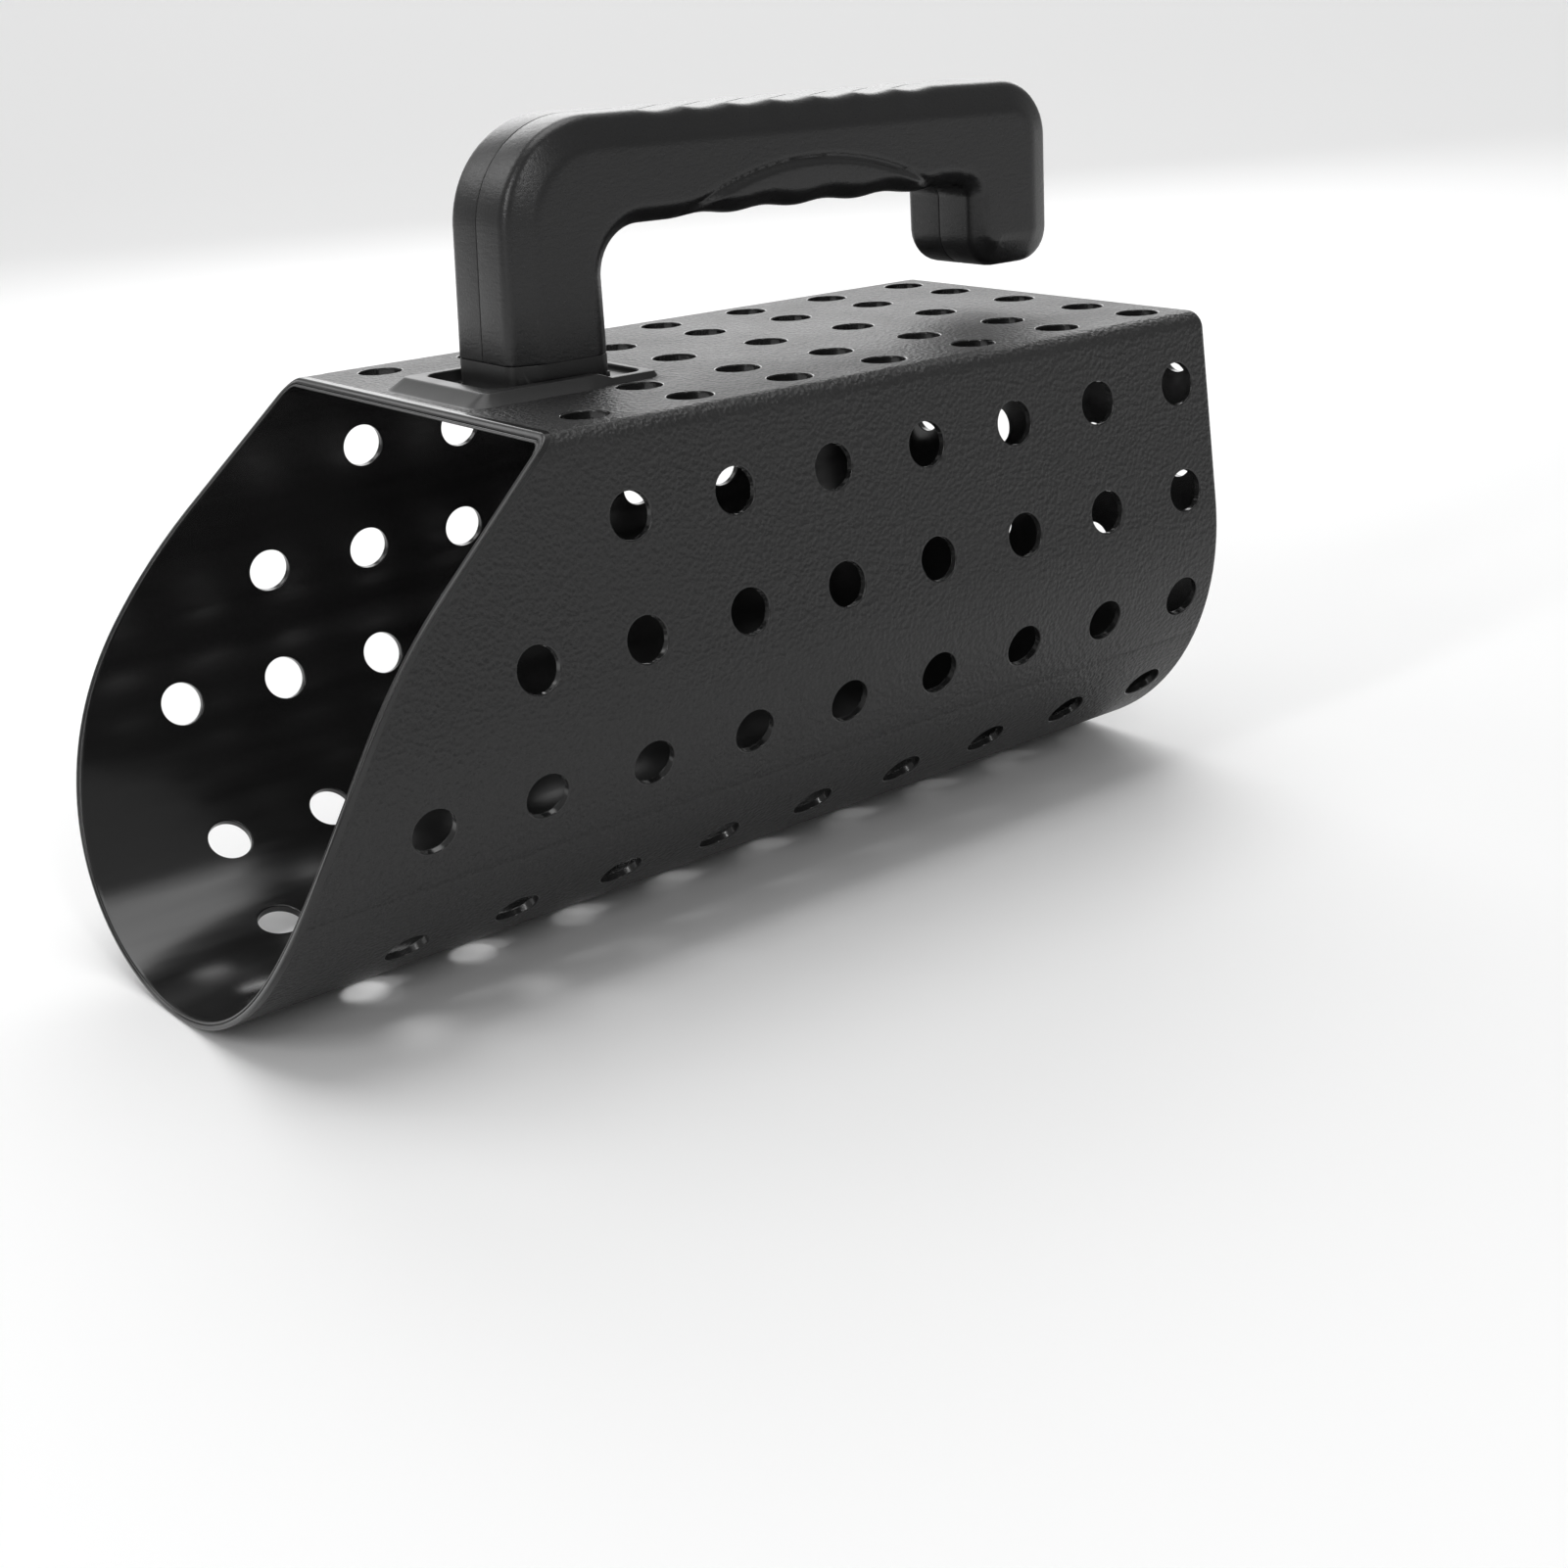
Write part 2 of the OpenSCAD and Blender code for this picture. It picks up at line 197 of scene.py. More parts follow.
def outside_all(points, loops):
    """Which of the points lie outside every one of the outlines."""
    ok = np.ones(len(points), bool)
    for loop in loops:
        low, high = loop.min(axis=0), loop.max(axis=0)
        near = np.nonzero(((points > low) & (points < high)).all(axis=1))[0]
        ok[near[inside_loop(points[near], loop)]] = False
    return ok


def with_holes(outline, ring, holes):
    """Points of a flat outline and its holes, their numbers in the shape, and the edges."""
    flat, known, edges = list(outline), list(ring), ring_edges(list(range(len(ring))))
    for hole_n, hole_flat in holes:
        start = len(flat)
        flat.extend(hole_flat)
        known.extend(hole_n)
        edges += ring_edges(list(range(start, len(flat))))
    return flat, known, edges


def between(outline, holes):
    """A test for the points inside an outline and outside its holes."""
    gaps = [hole for _, hole in holes]
    return lambda middle: inside_loop(middle, outline) & outside_all(middle, gaps)


# ---------------- the trough's skin
def along(x, front, rear):
    return front + (rear - front) * (x - LIP_X) / (REAR_X - LIP_X)


def axis_depth(x):
    return along(x, LIP_AXIS, REAR_AXIS)


def bottom_r(x):
    return along(x, LIP_R, REAR_R)


def edge_y(x):
    """Distance from the centre to the axis of the rounded deck edge."""
    depth = axis_depth(x) - DECK_EDGE_R
    return (bottom_r(x) - DECK_EDGE_R - depth * math.sin(SIDE_LEAN)) / math.cos(SIDE_LEAN)


def side_ends(x):
    """Height at which the straight side starts below the deck edge, and where it ends."""
    top = -DECK_EDGE_R + DECK_EDGE_R * math.sin(SIDE_LEAN)
    return top, -axis_depth(x) + bottom_r(x) * math.sin(SIDE_LEAN)


def spans(x):
    """Lengths of the deck's half, the rounded edge, the straight side and the bottom's half."""
    top, low = side_ends(x)
    return (edge_y(x), DECK_EDGE_R * (math.pi / 2 - SIDE_LEAN) + 0 * x,
            (top - low) / math.cos(SIDE_LEAN), bottom_r(x) * (math.pi / 2 + SIDE_LEAN))


def half_girth(x):
    """Distance around the section from the deck's centre to the keel."""
    return sum(spans(x))


def skin_at(x, w, inset=0.0):
    """Point at a distance w around the section from the deck's centre, inset from the skin."""
    x, w, inset = np.broadcast_arrays(np.asarray(x, float), np.asarray(w, float), inset)
    side = np.where(w < 0, -1.0, 1.0)
    reach = np.abs(w)
    deck, edge, straight, _ = spans(x)
    cos, sin = math.cos(SIDE_LEAN), math.sin(SIDE_LEAN)
    turn = math.pi / 2 - (reach - deck) / DECK_EDGE_R
    edge_r = DECK_EDGE_R - inset
    down = reach - deck - edge
    angle = SIDE_LEAN - (down - straight) / bottom_r(x)
    r = bottom_r(x) - inset
    y = np.select([reach <= deck, reach <= deck + edge, down <= straight],
                  [reach, deck + edge_r * np.cos(turn), deck + edge_r * cos + down * sin],
                  r * np.cos(angle))
    z = np.select([reach <= deck, reach <= deck + edge, down <= straight],
                  [-inset + 0 * x, -DECK_EDGE_R + edge_r * np.sin(turn),
                   -DECK_EDGE_R + edge_r * sin - down * cos],
                  -axis_depth(x) + r * np.sin(angle))
    return np.stack([x, side * y, z], axis=-1)


def skin_normal(x, w, inset=0.0):
    """Outward normal of the skin."""
    step = 0.01
    dx = skin_at(np.asarray(x) + step, w, inset) - skin_at(np.asarray(x) - step, w, inset)
    dw = skin_at(x, np.asarray(w) + step, inset) - skin_at(x, np.asarray(w) - step, inset)
    normal = np.cross(dx, dw)
    return normal / np.linalg.norm(normal, axis=-1, keepdims=True)


def section_stations(x):
    """Distances w around the section, from keel to keel, closer together on the curves."""
    ends = np.cumsum([0.0, *spans(float(x))])
    half = np.concatenate([np.linspace(ends[k], ends[k + 1], n + 1)[1:]
                           for k, n in enumerate((24, 8, 14, 44))])
    return np.concatenate([-half[::-1], [0.0], half[:-1]])


def mouth_x(z):
    """Where the slanting mouth lies at a height z."""
    z = np.asarray(z, float)
    bend_x = MOUTH_X - MOUTH_BEND * math.tan(MOUTH_LEAN)
    r = (bend_x - LIP_X) / (1 - math.cos(MOUTH_LEAN))
    low = -MOUTH_BEND - r * math.sin(MOUTH_LEAN)
    curve = LIP_X + r - np.sqrt(np.maximum(r * r - (np.maximum(z, low) - low) ** 2, 0))
    return np.where(z > -MOUTH_BEND, MOUTH_X + z * math.tan(MOUTH_LEAN), curve)


def mouth_ring(inset, back):
    """[x, w] of the ring around the mouth at an inset from the skin, set back from the mouth."""
    x = np.full(len(section_stations(0)), LIP_X)
    for _ in range(8):  # x depends on the section, and the section on x
        w = np.array([section_stations(v)[k] for k, v in enumerate(x)])
        x = mouth_x(skin_at(x, w, inset)[:, 2]) + back
    return x, w


def ring_at(x):
    w = section_stations(x)
    return np.full(len(w), float(x)), w


# ---------------- sieve holes
def hole_places():
    """[x, w, on the curve] of each hole in the skin."""
    places = []
    for side in (-1, 1):
        for y, first in DECK_ROWS:
            if y > 0 or side > 0:
                places += [(k * HOLE_PITCH, side * y, False) for k in range(first, LAST_COLUMN + 1)]
        for depth, first in SIDE_ROWS:
            for k in range(first, LAST_COLUMN + 1):
                x = k * HOLE_PITCH
                deck, edge, _, _ = spans(x)
                down = (side_ends(x)[0] + depth - ROW_RISE * (k - 4)) / math.cos(SIDE_LEAN)
                places.append((x, side * (deck + edge + down), False))
        for angle, turn in CURVE_ROWS:
            for k in range(-1, LAST_COLUMN + 1):
                x = k * HOLE_PITCH
                from_keel = bottom_r(x) * math.radians(angle + turn * (k - 4))
                places.append((x, side * (half_girth(x) - from_keel), True))
    return places


def hole_profile(rim, guard):
    """[radius, depth, slope] through the wall, with a rounded rim on each side."""
    turns = np.radians(np.linspace(0, 90, 6))
    top = [(HOLE_R + rim * (1 - math.sin(a)), rim * (1 - math.cos(a)), a) for a in turns]
    low = [(r, WALL - d, math.pi - a) for r, d, a in reversed(top)]
    return [(HOLE_R + rim + guard, 0.0, 0.0), *top, *low, (HOLE_R + rim + guard, WALL, math.pi)]


HOLE_TURNS = np.linspace(0, 2 * math.pi, 44, endpoint=False)


def hole_bands(shape, rings):
    """Joins a hole's rings, and returns the outer and the inner one."""
    numbers = [r[0] for r in rings]
    shape.bands(numbers[1:-1], SMOOTH)
    shape.bands(numbers[:2], GRAINED)
    shape.bands(numbers[-2:], GLOSSY)
    return rings[0], rings[-1]


def skin_hole(shape, x, w, curved):
    """Adds the wall of a hole in the skin, and returns its outer and inner rings."""
    rings = []
    for r, inset, slope in hole_profile(HOLE_RIM, GUARD):
        stretch = bottom_r(x) / (bottom_r(x) - inset) if curved else 1.0
        ring_x = x + r * np.cos(HOLE_TURNS)
        ring_w = w + r * np.sin(HOLE_TURNS) * stretch
        points = skin_at(ring_x, ring_w, inset)
        out = skin_normal(ring_x, ring_w, inset)
        to_axis = points.mean(axis=0) - points
        to_axis -= out * (to_axis * out).sum(axis=1, keepdims=True)
        to_axis /= np.linalg.norm(to_axis, axis=1, keepdims=True)
        normals = out * math.cos(slope) + to_axis * math.sin(slope)
        rings.append((shape.add(points, normals), np.stack([ring_x, ring_w], axis=1)))
    return hole_bands(shape, rings)


def rear_hole(shape, y, z):
    """Adds the wall of a hole in the rear wall, and returns its outer and inner rings."""
    rings = []
    for r, inset, slope in hole_profile(REAR_RIM, REAR_GUARD):
        cos, sin = np.cos(HOLE_TURNS), np.sin(HOLE_TURNS)
        flat = np.stack([y + r * cos, z + r * sin], axis=1)
        points = np.column_stack([np.full(len(cos), REAR_X - inset), flat])
        normals = np.column_stack([np.full(len(cos), math.cos(slope)),
                                   -math.sin(slope) * cos, -math.sin(slope) * sin])
        rings.append((shape.add(points, normals), flat))
    return hole_bands(shape, rings)


# ---------------- rounded outlines
def rounded(corners, radius, offset=0.0, steps=5):
    """A right-angled outline, counter-clockwise, with rounded corners, grown by an offset."""
    corners = np.asarray(corners, float)
    radius = np.broadcast_to(radius, len(corners))
    outline = []
    for k in range(len(corners)):
        before = corners[k] - corners[k - 1]
        after = corners[(k + 1) % len(corners)] - corners[k]
        before, after = before / np.linalg.norm(before), after / np.linalg.norm(after)
        outer = before[0] * after[1] - before[1] * after[0] > 0
        place = corners[k] + offset * (np.array([before[1], -before[0]]) + [after[1], -after[0]])
        r = max(radius[k] + (offset if outer else -offset), 0.05)
        centre = place + r * (after - before)
        start = np.array([before[1], -before[0]]) * (1 if outer else -1)
        for a in np.linspace(0, math.pi / 2, steps) * (1 if outer else -1):
            turn = np.array([[math.cos(a), -math.sin(a)], [math.sin(a), math.cos(a)]])
            outline.append(centre + r * (turn @ start))
    return np.array(outline)


def box_corners(x0, x1, half_w):
    return [(x0, -half_w), (x1, -half_w), (x1, half_w), (x0, half_w)]


def smooth_step(x, start, end):
    t = np.clip((x - start) / (end - start), 0, 1)
    return t * t * (3 - 2 * t)


# ---------------- the socket on the deck
FRAME_N = (12, 30, 12, 30)  # points along each straight side of a ring
CHEEK_FRONT = 4.1  # run of the slope in front of the recess
SIDE_SLOPE, REAR_SLOPE = 2.8, 1.4  # run of the slope beside and behind it
REAR_STEEPER = 0.78  # part of the side slope's run lost behind the cheeks
STEEPER_FROM_Y = 12.0
FRAME_FRONT, FRAME_REAR = 3.2, 1.6  # flat top in front of the recess and behind it
FRAME_R, FRAME_RIM = 1.2, 0.35
RECESS_R, RECESS_FILLET = 3.0, 0.15
LEDGE, OPENING_R, OPENING_RIM = 0.5, 0.6, 0.3


def behind_cheeks(x):
    return smooth_step(x, CHEEK_END - 0.7, CHEEK_END + 0.2)


def frame_height(x):
    """Height of the socket's frame, which drops behind the cheeks."""
    return CHEEK_H + (RIM_H - CHEEK_H) * behind_cheeks(x)


def frame_ring(x0, x1, half_w, radius):
    """A rounded rectangle with the same number of points for every size."""
    corners = rounded(box_corners(x0, x1, half_w), radius)
    per = len(corners) // 4
    points = []
    for k in range(4):
        turn = corners[k * per:(k + 1) * per]
        following = corners[((k + 1) * per) % len(corners)]
        points += list(turn)
        start, n = turn[-1], FRAME_N[k]
        points += [start + (following - start) * i / n for i in range(1, n)]
    return np.array(points)


def slope_ring(out, up):
    """A ring on the frame's outer slope: out and up run from 0 to 1."""
    half = RECESS_HALF_W + CHEEK_W
    grow = SIDE_SLOPE * out
    front = RECESS_X[0] - FRAME_FRONT - CHEEK_FRONT * out
    rear = RECESS_X[1] + FRAME_REAR + REAR_SLOPE * out
    ring = frame_ring(front, rear, half + grow, FRAME_R + max(grow, 0))
    z = up * frame_height(ring[:, 0])
    steep = 1 - REAR_STEEPER * behind_cheeks(ring[:, 0])
    side = np.clip((np.abs(ring[:, 1]) - STEEPER_FROM_Y) / (half + grow - STEEPER_FROM_Y), 0, 1)
    pull = grow * (1 - steep) * side
    ring[:, 1] -= np.sign(ring[:, 1]) * pull
    return np.column_stack([ring, z])


def top_ring(out):
    """A ring on the frame's flat top: out is 0 at the recess and 1 at the slope."""
    ring = frame_ring(RECESS_X[0] - FRAME_FRONT * out, RECESS_X[1] + FRAME_REAR * out,
                      RECESS_HALF_W + CHEEK_W * out, RECESS_R + out)
    return np.column_stack([ring, frame_height(ring[:, 0])])


def recess_ring(out, down):
    """A ring on the rounding from the frame's top into the recess."""
    ring = frame_ring(RECESS_X[0] - out, RECESS_X[1] + out, RECESS_HALF_W + out, RECESS_R + out)
    return np.column_stack([ring, frame_height(ring[:, 0]) - down])


def socket(shape):
    """The raised frame round the recess. Returns its outer ring and its inner ring."""
    levels = [slope_ring(out, up) for out, up in
              ((1.0, 0.0), (0.96, 0.015), (0.86, 0.10), (0.12, 0.86), (0.04, 0.965), (-0.05, 1.0))]
    levels += [top_ring(out) for out in (0.45, 0.10)]
    levels += [recess_ring(FRAME_RIM * (1 - math.sin(a)), FRAME_RIM * (1 - math.cos(a)))
               for a in np.radians([30, 60, 90])]
    floor = frame_ring(*RECESS_X, RECESS_HALF_W, RECESS_R)
    levels.append(np.column_stack([floor, np.full(len(floor), RECESS_FILLET)]))
    base = frame_ring(RECESS_X[0] + RECESS_FILLET, RECESS_X[1] - RECESS_FILLET, RECESS_HALF_W - RECESS_FILLET,
                      RECESS_R - RECESS_FILLET)
    levels.append(np.column_stack([base, np.zeros(len(base))]))
    rings = [shape.add(level) for level in levels]
    shape.bands(rings, SATIN)
    return (rings[0], levels[0][:, :2]), (rings[-1], base)


def opening_corners():
    """Outline of the window and the slot behind it, a little inside the recess."""
    x0, half = RECESS_X[0] + LEDGE, RECESS_HALF_W - LEDGE
    return [(x0, -half), (WINDOW_REAR, -half), (WINDOW_REAR, -SLOT_HALF_W), (SLOT_REAR, -SLOT_HALF_W),
            (SLOT_REAR, SLOT_HALF_W), (WINDOW_REAR, SLOT_HALF_W), (WINDOW_REAR, half), (x0, half)]


def socket_opening(shape):
    """Walls of the window and slot through the deck. Returns the upper and the lower ring."""
    rings = []
    profile = [(OPENING_RIM * (1 - math.sin(a)), OPENING_RIM * (1 - math.cos(a)))
               for a in np.radians([0, 30, 60, 90])]
    radii = [RECESS_R - LEDGE, *[OPENING_R] * 6, RECESS_R - LEDGE]
    for out, depth in profile + [(o, WALL - d) for o, d in reversed(profile)]:
        flat = rounded(opening_corners(), radii, out)
        rings.append((shape.add(np.column_stack([flat, np.full(len(flat), -depth)])), flat))
    shape.bands([r[0] for r in rings], SMOOTH)
    return rings[0], rings[-1]


# ---------------- the trough
GRID_STEP, REAR_GRID_STEP = 4.0, 6.0  # free points between the holes
EDGE_CLEAR, HOLE_CLEAR, LINE_CLEAR = 1.2, 0.9, 0.9
PARTING_GROOVE = ((-0.3, 0.0), (0.0, 0.14), (0.3, 0.0))  # distance from the line, depth
MOUTH_RIM = 0.3
MOUTH_STEP = ((0.92, 0.0), (0.99, 0.07), (1.03, 0.36), (1.18, 0.38), (1.23, 0.14), (1.3, 0.1))
MOUTH_INNER = 0.1  # the inner lip lies that far behind the outer one


def parting_w(x):
    """Where the mould's parting line runs on the skin."""
    return half_girth(x) - bottom_r(x) * math.radians(PARTING_ANGLE)


def skin_patch(shape, inset, front, rear, holes, cutouts, finish, flip, grooves=()):
    """One skin of the trough, between two rings, with holes and cutouts."""
    flat, numbers, edges = [], [], []

    def put(points, known):
        start = len(flat)
        flat.extend(np.asarray(points, float))
        numbers.extend(known)
        return list(range(start, len(flat)))

    (front_n, front_x, front_w), (rear_n, rear_x, rear_w) = front, rear
    first = put(np.column_stack([front_x, front_w]), front_n)
    last = put(np.column_stack([rear_x, rear_w]), rear_n)
    edges += [(a, b) for a, b in zip(first, first[1:])] + [(a, b) for a, b in zip(last, last[1:])]

    # The keel: the section's two ends are the same points in space
    keel_x = np.linspace(front_x[0], rear_x[0], 60)[1:-1]
    keel_w = half_girth(keel_x)
    outward = -1 if flip else 1
    keel = shape.add(skin_at(keel_x, keel_w, inset), outward * skin_normal(keel_x, -keel_w, inset))
    near = put(np.column_stack([keel_x, -keel_w]), keel)
    far = put(np.column_stack([keel_x, keel_w]), keel)
    closing_front = put([[front_x[0], -front_w[0]]], [front_n[0]])
    closing_rear = put([[rear_x[0], -rear_w[0]]], [rear_n[0]])
    for chain in ([first[0], *near, last[0]], [closing_front[0], *far, closing_rear[0]],
                  [first[-1], closing_front[0]], [last[-1], closing_rear[0]]):
        edges += list(zip(chain, chain[1:]))

    for known, outline in [*holes, *cutouts]:
        edges += ring_edges(put(outline, known))

    # Free points on a grid that follows the section
    centres = np.array([outline.mean(axis=0) for _, outline in holes])
    grid = np.array([(x, w) for x in np.arange(LIP_X, REAR_X, GRID_STEP) for w in section_stations(x)[1:]])
    front_at = np.interp(grid[:, 1], front_w, front_x)
    clear = (grid[:, 0] > front_at + EDGE_CLEAR) & (grid[:, 0] < rear_x[0] - EDGE_CLEAR)
    for centre in centres:
        clear &= np.hypot(*(grid - centre).T) > HOLE_R + HOLE_RIM + GUARD + HOLE_CLEAR
    for _, loop in cutouts:
        low, high = loop.min(axis=0) - 1.0, loop.max(axis=0) + 1.0
        clear &= ~((grid > low) & (grid < high)).all(axis=1)
    if grooves:
        clear &= np.abs(np.abs(grid[:, 1]) - parting_w(grid[:, 0])) > LINE_CLEAR
    grid = grid[clear]
    put(grid, shape.add(skin_at(grid[:, 0], grid[:, 1], inset),
                        skin_normal(grid[:, 0], grid[:, 1], inset) * outward))

    # The mould's parting line is a shallow groove
    for side in (-1, 1):
        for away, depth in grooves:
            x = np.linspace(front_x.min(), rear_x[0], 160)
            w = parting_w(x) + away
            inside = (x > np.interp(side * w, front_w, front_x) + 0.4) & (x < rear_x[0] - 0.4)
            x, w = x[inside], side * w[inside]
            line = put(np.column_stack([x, w]), shape.add(skin_at(x, w, depth)))
            edges += list(zip(line, line[1:]))

    border = np.concatenate([flat[first[0]:first[-1] + 1], [flat[closing_front[0]]],
                             np.array([flat[k] for k in far]), [flat[closing_rear[0]]],
                             flat[last[0]:last[-1] + 1][::-1], np.array([flat[k] for k in near[::-1]])])

    shape.patch(flat, numbers, edges, between(border, [*holes, *cutouts]), finish, flip)


def rear_patch(shape, x, ring, ring_yz, holes, finish, flip):
    """The flat rear wall, seen from one side."""
    flat, numbers, edges = with_holes(ring_yz, ring, holes)
    centres = np.array([outline.mean(axis=0) for _, outline in holes])
    radius = HOLE_R + REAR_RIM + REAR_GUARD

    grid = np.array([(y, z) for y in np.arange(-54, 55, REAR_GRID_STEP)
                     for z in np.arange(-100, 0, REAR_GRID_STEP)])
    clear = inside_loop(grid * 1.03 + [0, 1.5], ring_yz) & inside_loop(grid * 1.03 - [0, 1.5], ring_yz)
    for centre in centres:
        clear &= np.hypot(*(grid - centre).T) > radius + 1.0
    grid = grid[clear]
    out = np.tile([-1.0 if flip else 1.0, 0, 0], (len(grid), 1))
    numbers += shape.add(np.column_stack([np.full(len(grid), x), grid]), out)
    flat.extend(grid)
    shape.patch(flat, numbers, edges, between(ring_yz, holes), finish, flip)


def mouth_edge(shape):
    """The mouth's edge, from the outer skin round to the inner one, with a fine step in it."""
    f = MOUTH_RIM
    turns = np.radians(np.linspace(0, 90, 5))
    edge = [(0.0, RIM_BAND), (0.0, f + 0.15)]
    edge += [(f * (1 - math.cos(a)), f * (1 - math.sin(a))) for a in turns]
    edge += MOUTH_STEP
    edge += [(WALL - f * (1 - math.sin(a)), MOUTH_INNER + f * (1 - math.cos(a))) for a in turns]
    edge += [(WALL, 0.9)]
    rings = []
    for inset, back in edge:
        x, w = mouth_ring(inset, back)
        rings.append((shape.add(skin_at(x, w, inset)), x, w))
    shape.bands([r[0] for r in rings], SMOOTH)
    return rings[0], rings[-1]


def rear_ring(shape, wall_x, depth, r, a, facing):
    """A ring at the angle a on the rounding of radius r between a skin and the rear wall."""
    inset = depth + r * (1 - math.cos(a))
    x, w = ring_at(wall_x - r)
    points = skin_at(x, w, inset)
    points[:, 0] = wall_x - r * (1 - math.sin(a))
    normals = skin_normal(x, w, inset) * math.cos(a) + np.array([1.0, 0, 0]) * math.sin(a)
    return shape.add(points, facing * normals), x, w, points[:, 1:]


def scoop_shell(finishes):
    shape = Shape()
    holes = [skin_hole(shape, *place) for place in hole_places()]
    rear_places = [(s * y, -z) for s in (-1, 1) for y in REAR_COLUMNS for z in REAR_ROWS]
    rear_places += [(0.0, -REAR_LOW_ROW)]
    rear_holes = [rear_hole(shape, *place) for place in rear_places]
    frame_outer, frame_inner = socket(shape)
    opening_top, opening_low = socket_opening(shape)
    mouth_out, mouth_in = mouth_edge(shape)

    # The rear edge outside, and the fillet inside
    outside, inside = [], []
    for a in np.radians(np.linspace(0, 90, 7)):
        outside.append(rear_ring(shape, REAR_X, 0.0, REAR_EDGE_R, a, 1))
        inside.append(rear_ring(shape, REAR_X - WALL, WALL, REAR_FILLET, a, -1))
    shape.bands([r[0][::-1] for r in outside], GRAINED)
    shape.bands([r[0] for r in inside], GLOSSY)

    skin_patch(shape, 0.0, mouth_out, outside[0][:3], [h[0] for h in holes], [frame_outer], GRAINED, False,
               PARTING_GROOVE)
    skin_patch(shape, WALL, mouth_in, inside[0][:3], [h[1] for h in holes], [opening_low], GLOSSY, True)
    rear_patch(shape, REAR_X, outside[-1][0], outside[-1][3], [h[0] for h in rear_holes], GRAINED, False)
    rear_patch(shape, REAR_X - WALL, inside[-1][0], inside[-1][3], [h[1] for h in rear_holes], GLOSSY, True)

    # The recess's floor
    inner_n, inner_flat = frame_inner
    shape.patch(*with_holes(inner_flat, inner_n, [opening_top]), between(inner_flat, [opening_top]), SATIN)
    return shape.build("scoop_shell", finishes)


# ---------------- the handle's side view
N_BEND, N_TOP, N_HEEL, N_TOE = 22, 130, 12, 8
SEAM = 0.05  # each shell stops this far from the middle
SCALLOPS, SCALLOP_START, SCALLOP_PITCH, SCALLOP_D = 7, 61.0, 11.0, 0.5
PALM_ARC_X, PALM_ARC_Z, PALM_ARC_R = 101.0, -28.8, 67.0
PALM_RISE, PALM_GROOVE = 0.75, 0.4
PALM_FRONT, PALM_REAR, PALM_TOP = (62.0, 74.0), (130.0, 140.0), 45.0  # where the crescent fades out
GRIP_START, GRIP_SPARE = 60.0, 4.0  # the level stretch, and what it leaves before the toe
OUTER_BEVEL = (BEVEL_OUT, 3.2, 6.0)  # drop, radius at the edge, radius at the side
INNER_BEVEL = (BEVEL_IN, 2.6, 3.0)
SHANK_R, PILOT_R, PILOT_END = 1.7, 1.5, 8.9  # screw holes in the far shell and in the near one
SEAT_R = 3.1


def arc(cx, cz, r, start, end, n):
    turn = np.radians(np.linspace(start, end, n + 1))
    return np.column_stack([cx + r * np.cos(turn), cz + r * np.sin(turn)])


def grip_fall(x, start):
    return GRIP_FALL / (TOE_REAR - POST_FRONT - BEND_R) * (x - start)


def top_z(x):
    return GRIP_TOP - grip_fall(x, POST_FRONT + BEND_R)


def under_z(x):
    return GRIP_TOP - GRIP_THICK - grip_fall(x, POST_REAR + CROOK_R)


def scallop(x):
    """Depth of the shallow dips along the grip's top."""
    u = (x - SCALLOP_START) / SCALLOP_PITCH
    wave = (0.5 - 0.5 * np.cos(2 * math.pi * u)) ** 0.7
    return SCALLOP_D * wave * ((u > 0) & (u < SCALLOPS))


def finger_wave(x):
    u = (x - BUMP_START) / BUMP_PITCH
    return BUMP_H * (0.5 - 0.5 * np.cos(2 * math.pi * u)) * ((u > 0) & (u < BUMPS))


GRIP_X = np.linspace(GRIP_START, TOE_FRONT - GRIP_SPARE, N_TOP + 1)
FOOT_LIP = ((0.25, 0.0), (0.07, 0.08), (0.0, 0.3))  # rounding where a shell ends above the foot


def outer_chain(inset):
    """The handle's front, top and heel in side view, drawn inwards by inset."""
    toe = arc(TOE_REAR - TOE_R, TOE_BOTTOM + TOE_R, TOE_R - inset, 0, -90, N_TOE)
    dip = scallop(GRIP_X) * max(0.0, 1 - inset / BEVEL_OUT)
    return np.concatenate([
        [(POST_FRONT - POST_FLARE + inset + i, SHELL_FOOT_Z + up) for i, up in FOOT_LIP],
        arc(POST_FRONT + BEND_R, GRIP_TOP - BEND_R, BEND_R - inset, 180, 90, N_BEND),
        np.column_stack([GRIP_X, top_z(GRIP_X) - inset - dip]),
        arc(TOE_REAR - HEEL_R, top_z(TOE_REAR) - HEEL_R, HEEL_R - inset, 90, 0, N_HEEL), toe])


def inner_chain(inset, under):
    """The fingers' side, point for point beside the outer chain."""
    turn = np.radians(np.linspace(180, 270, N_TOE + 1))
    r = TOE_R - inset + (inset - under) * np.linspace(0, 1, N_TOE + 1)
    toe = np.column_stack([TOE_FRONT + TOE_R + r * np.cos(turn), TOE_BOTTOM + TOE_R + r * np.sin(turn)])
    return np.concatenate([
        [(POST_REAR - inset - i, SHELL_FOOT_Z + up) for i, up in FOOT_LIP],
        arc(POST_REAR + CROOK_R, GRIP_TOP - GRIP_THICK - CROOK_R, CROOK_R + inset, 180, 90, N_BEND),
        np.column_stack([GRIP_X, under_z(GRIP_X) + finger_wave(GRIP_X) + inset]),
        arc(TOE_FRONT - CORNER_R, under_z(TOE_FRONT) - CORNER_R, CORNER_R + inset, 90, 0, N_HEEL), toe])


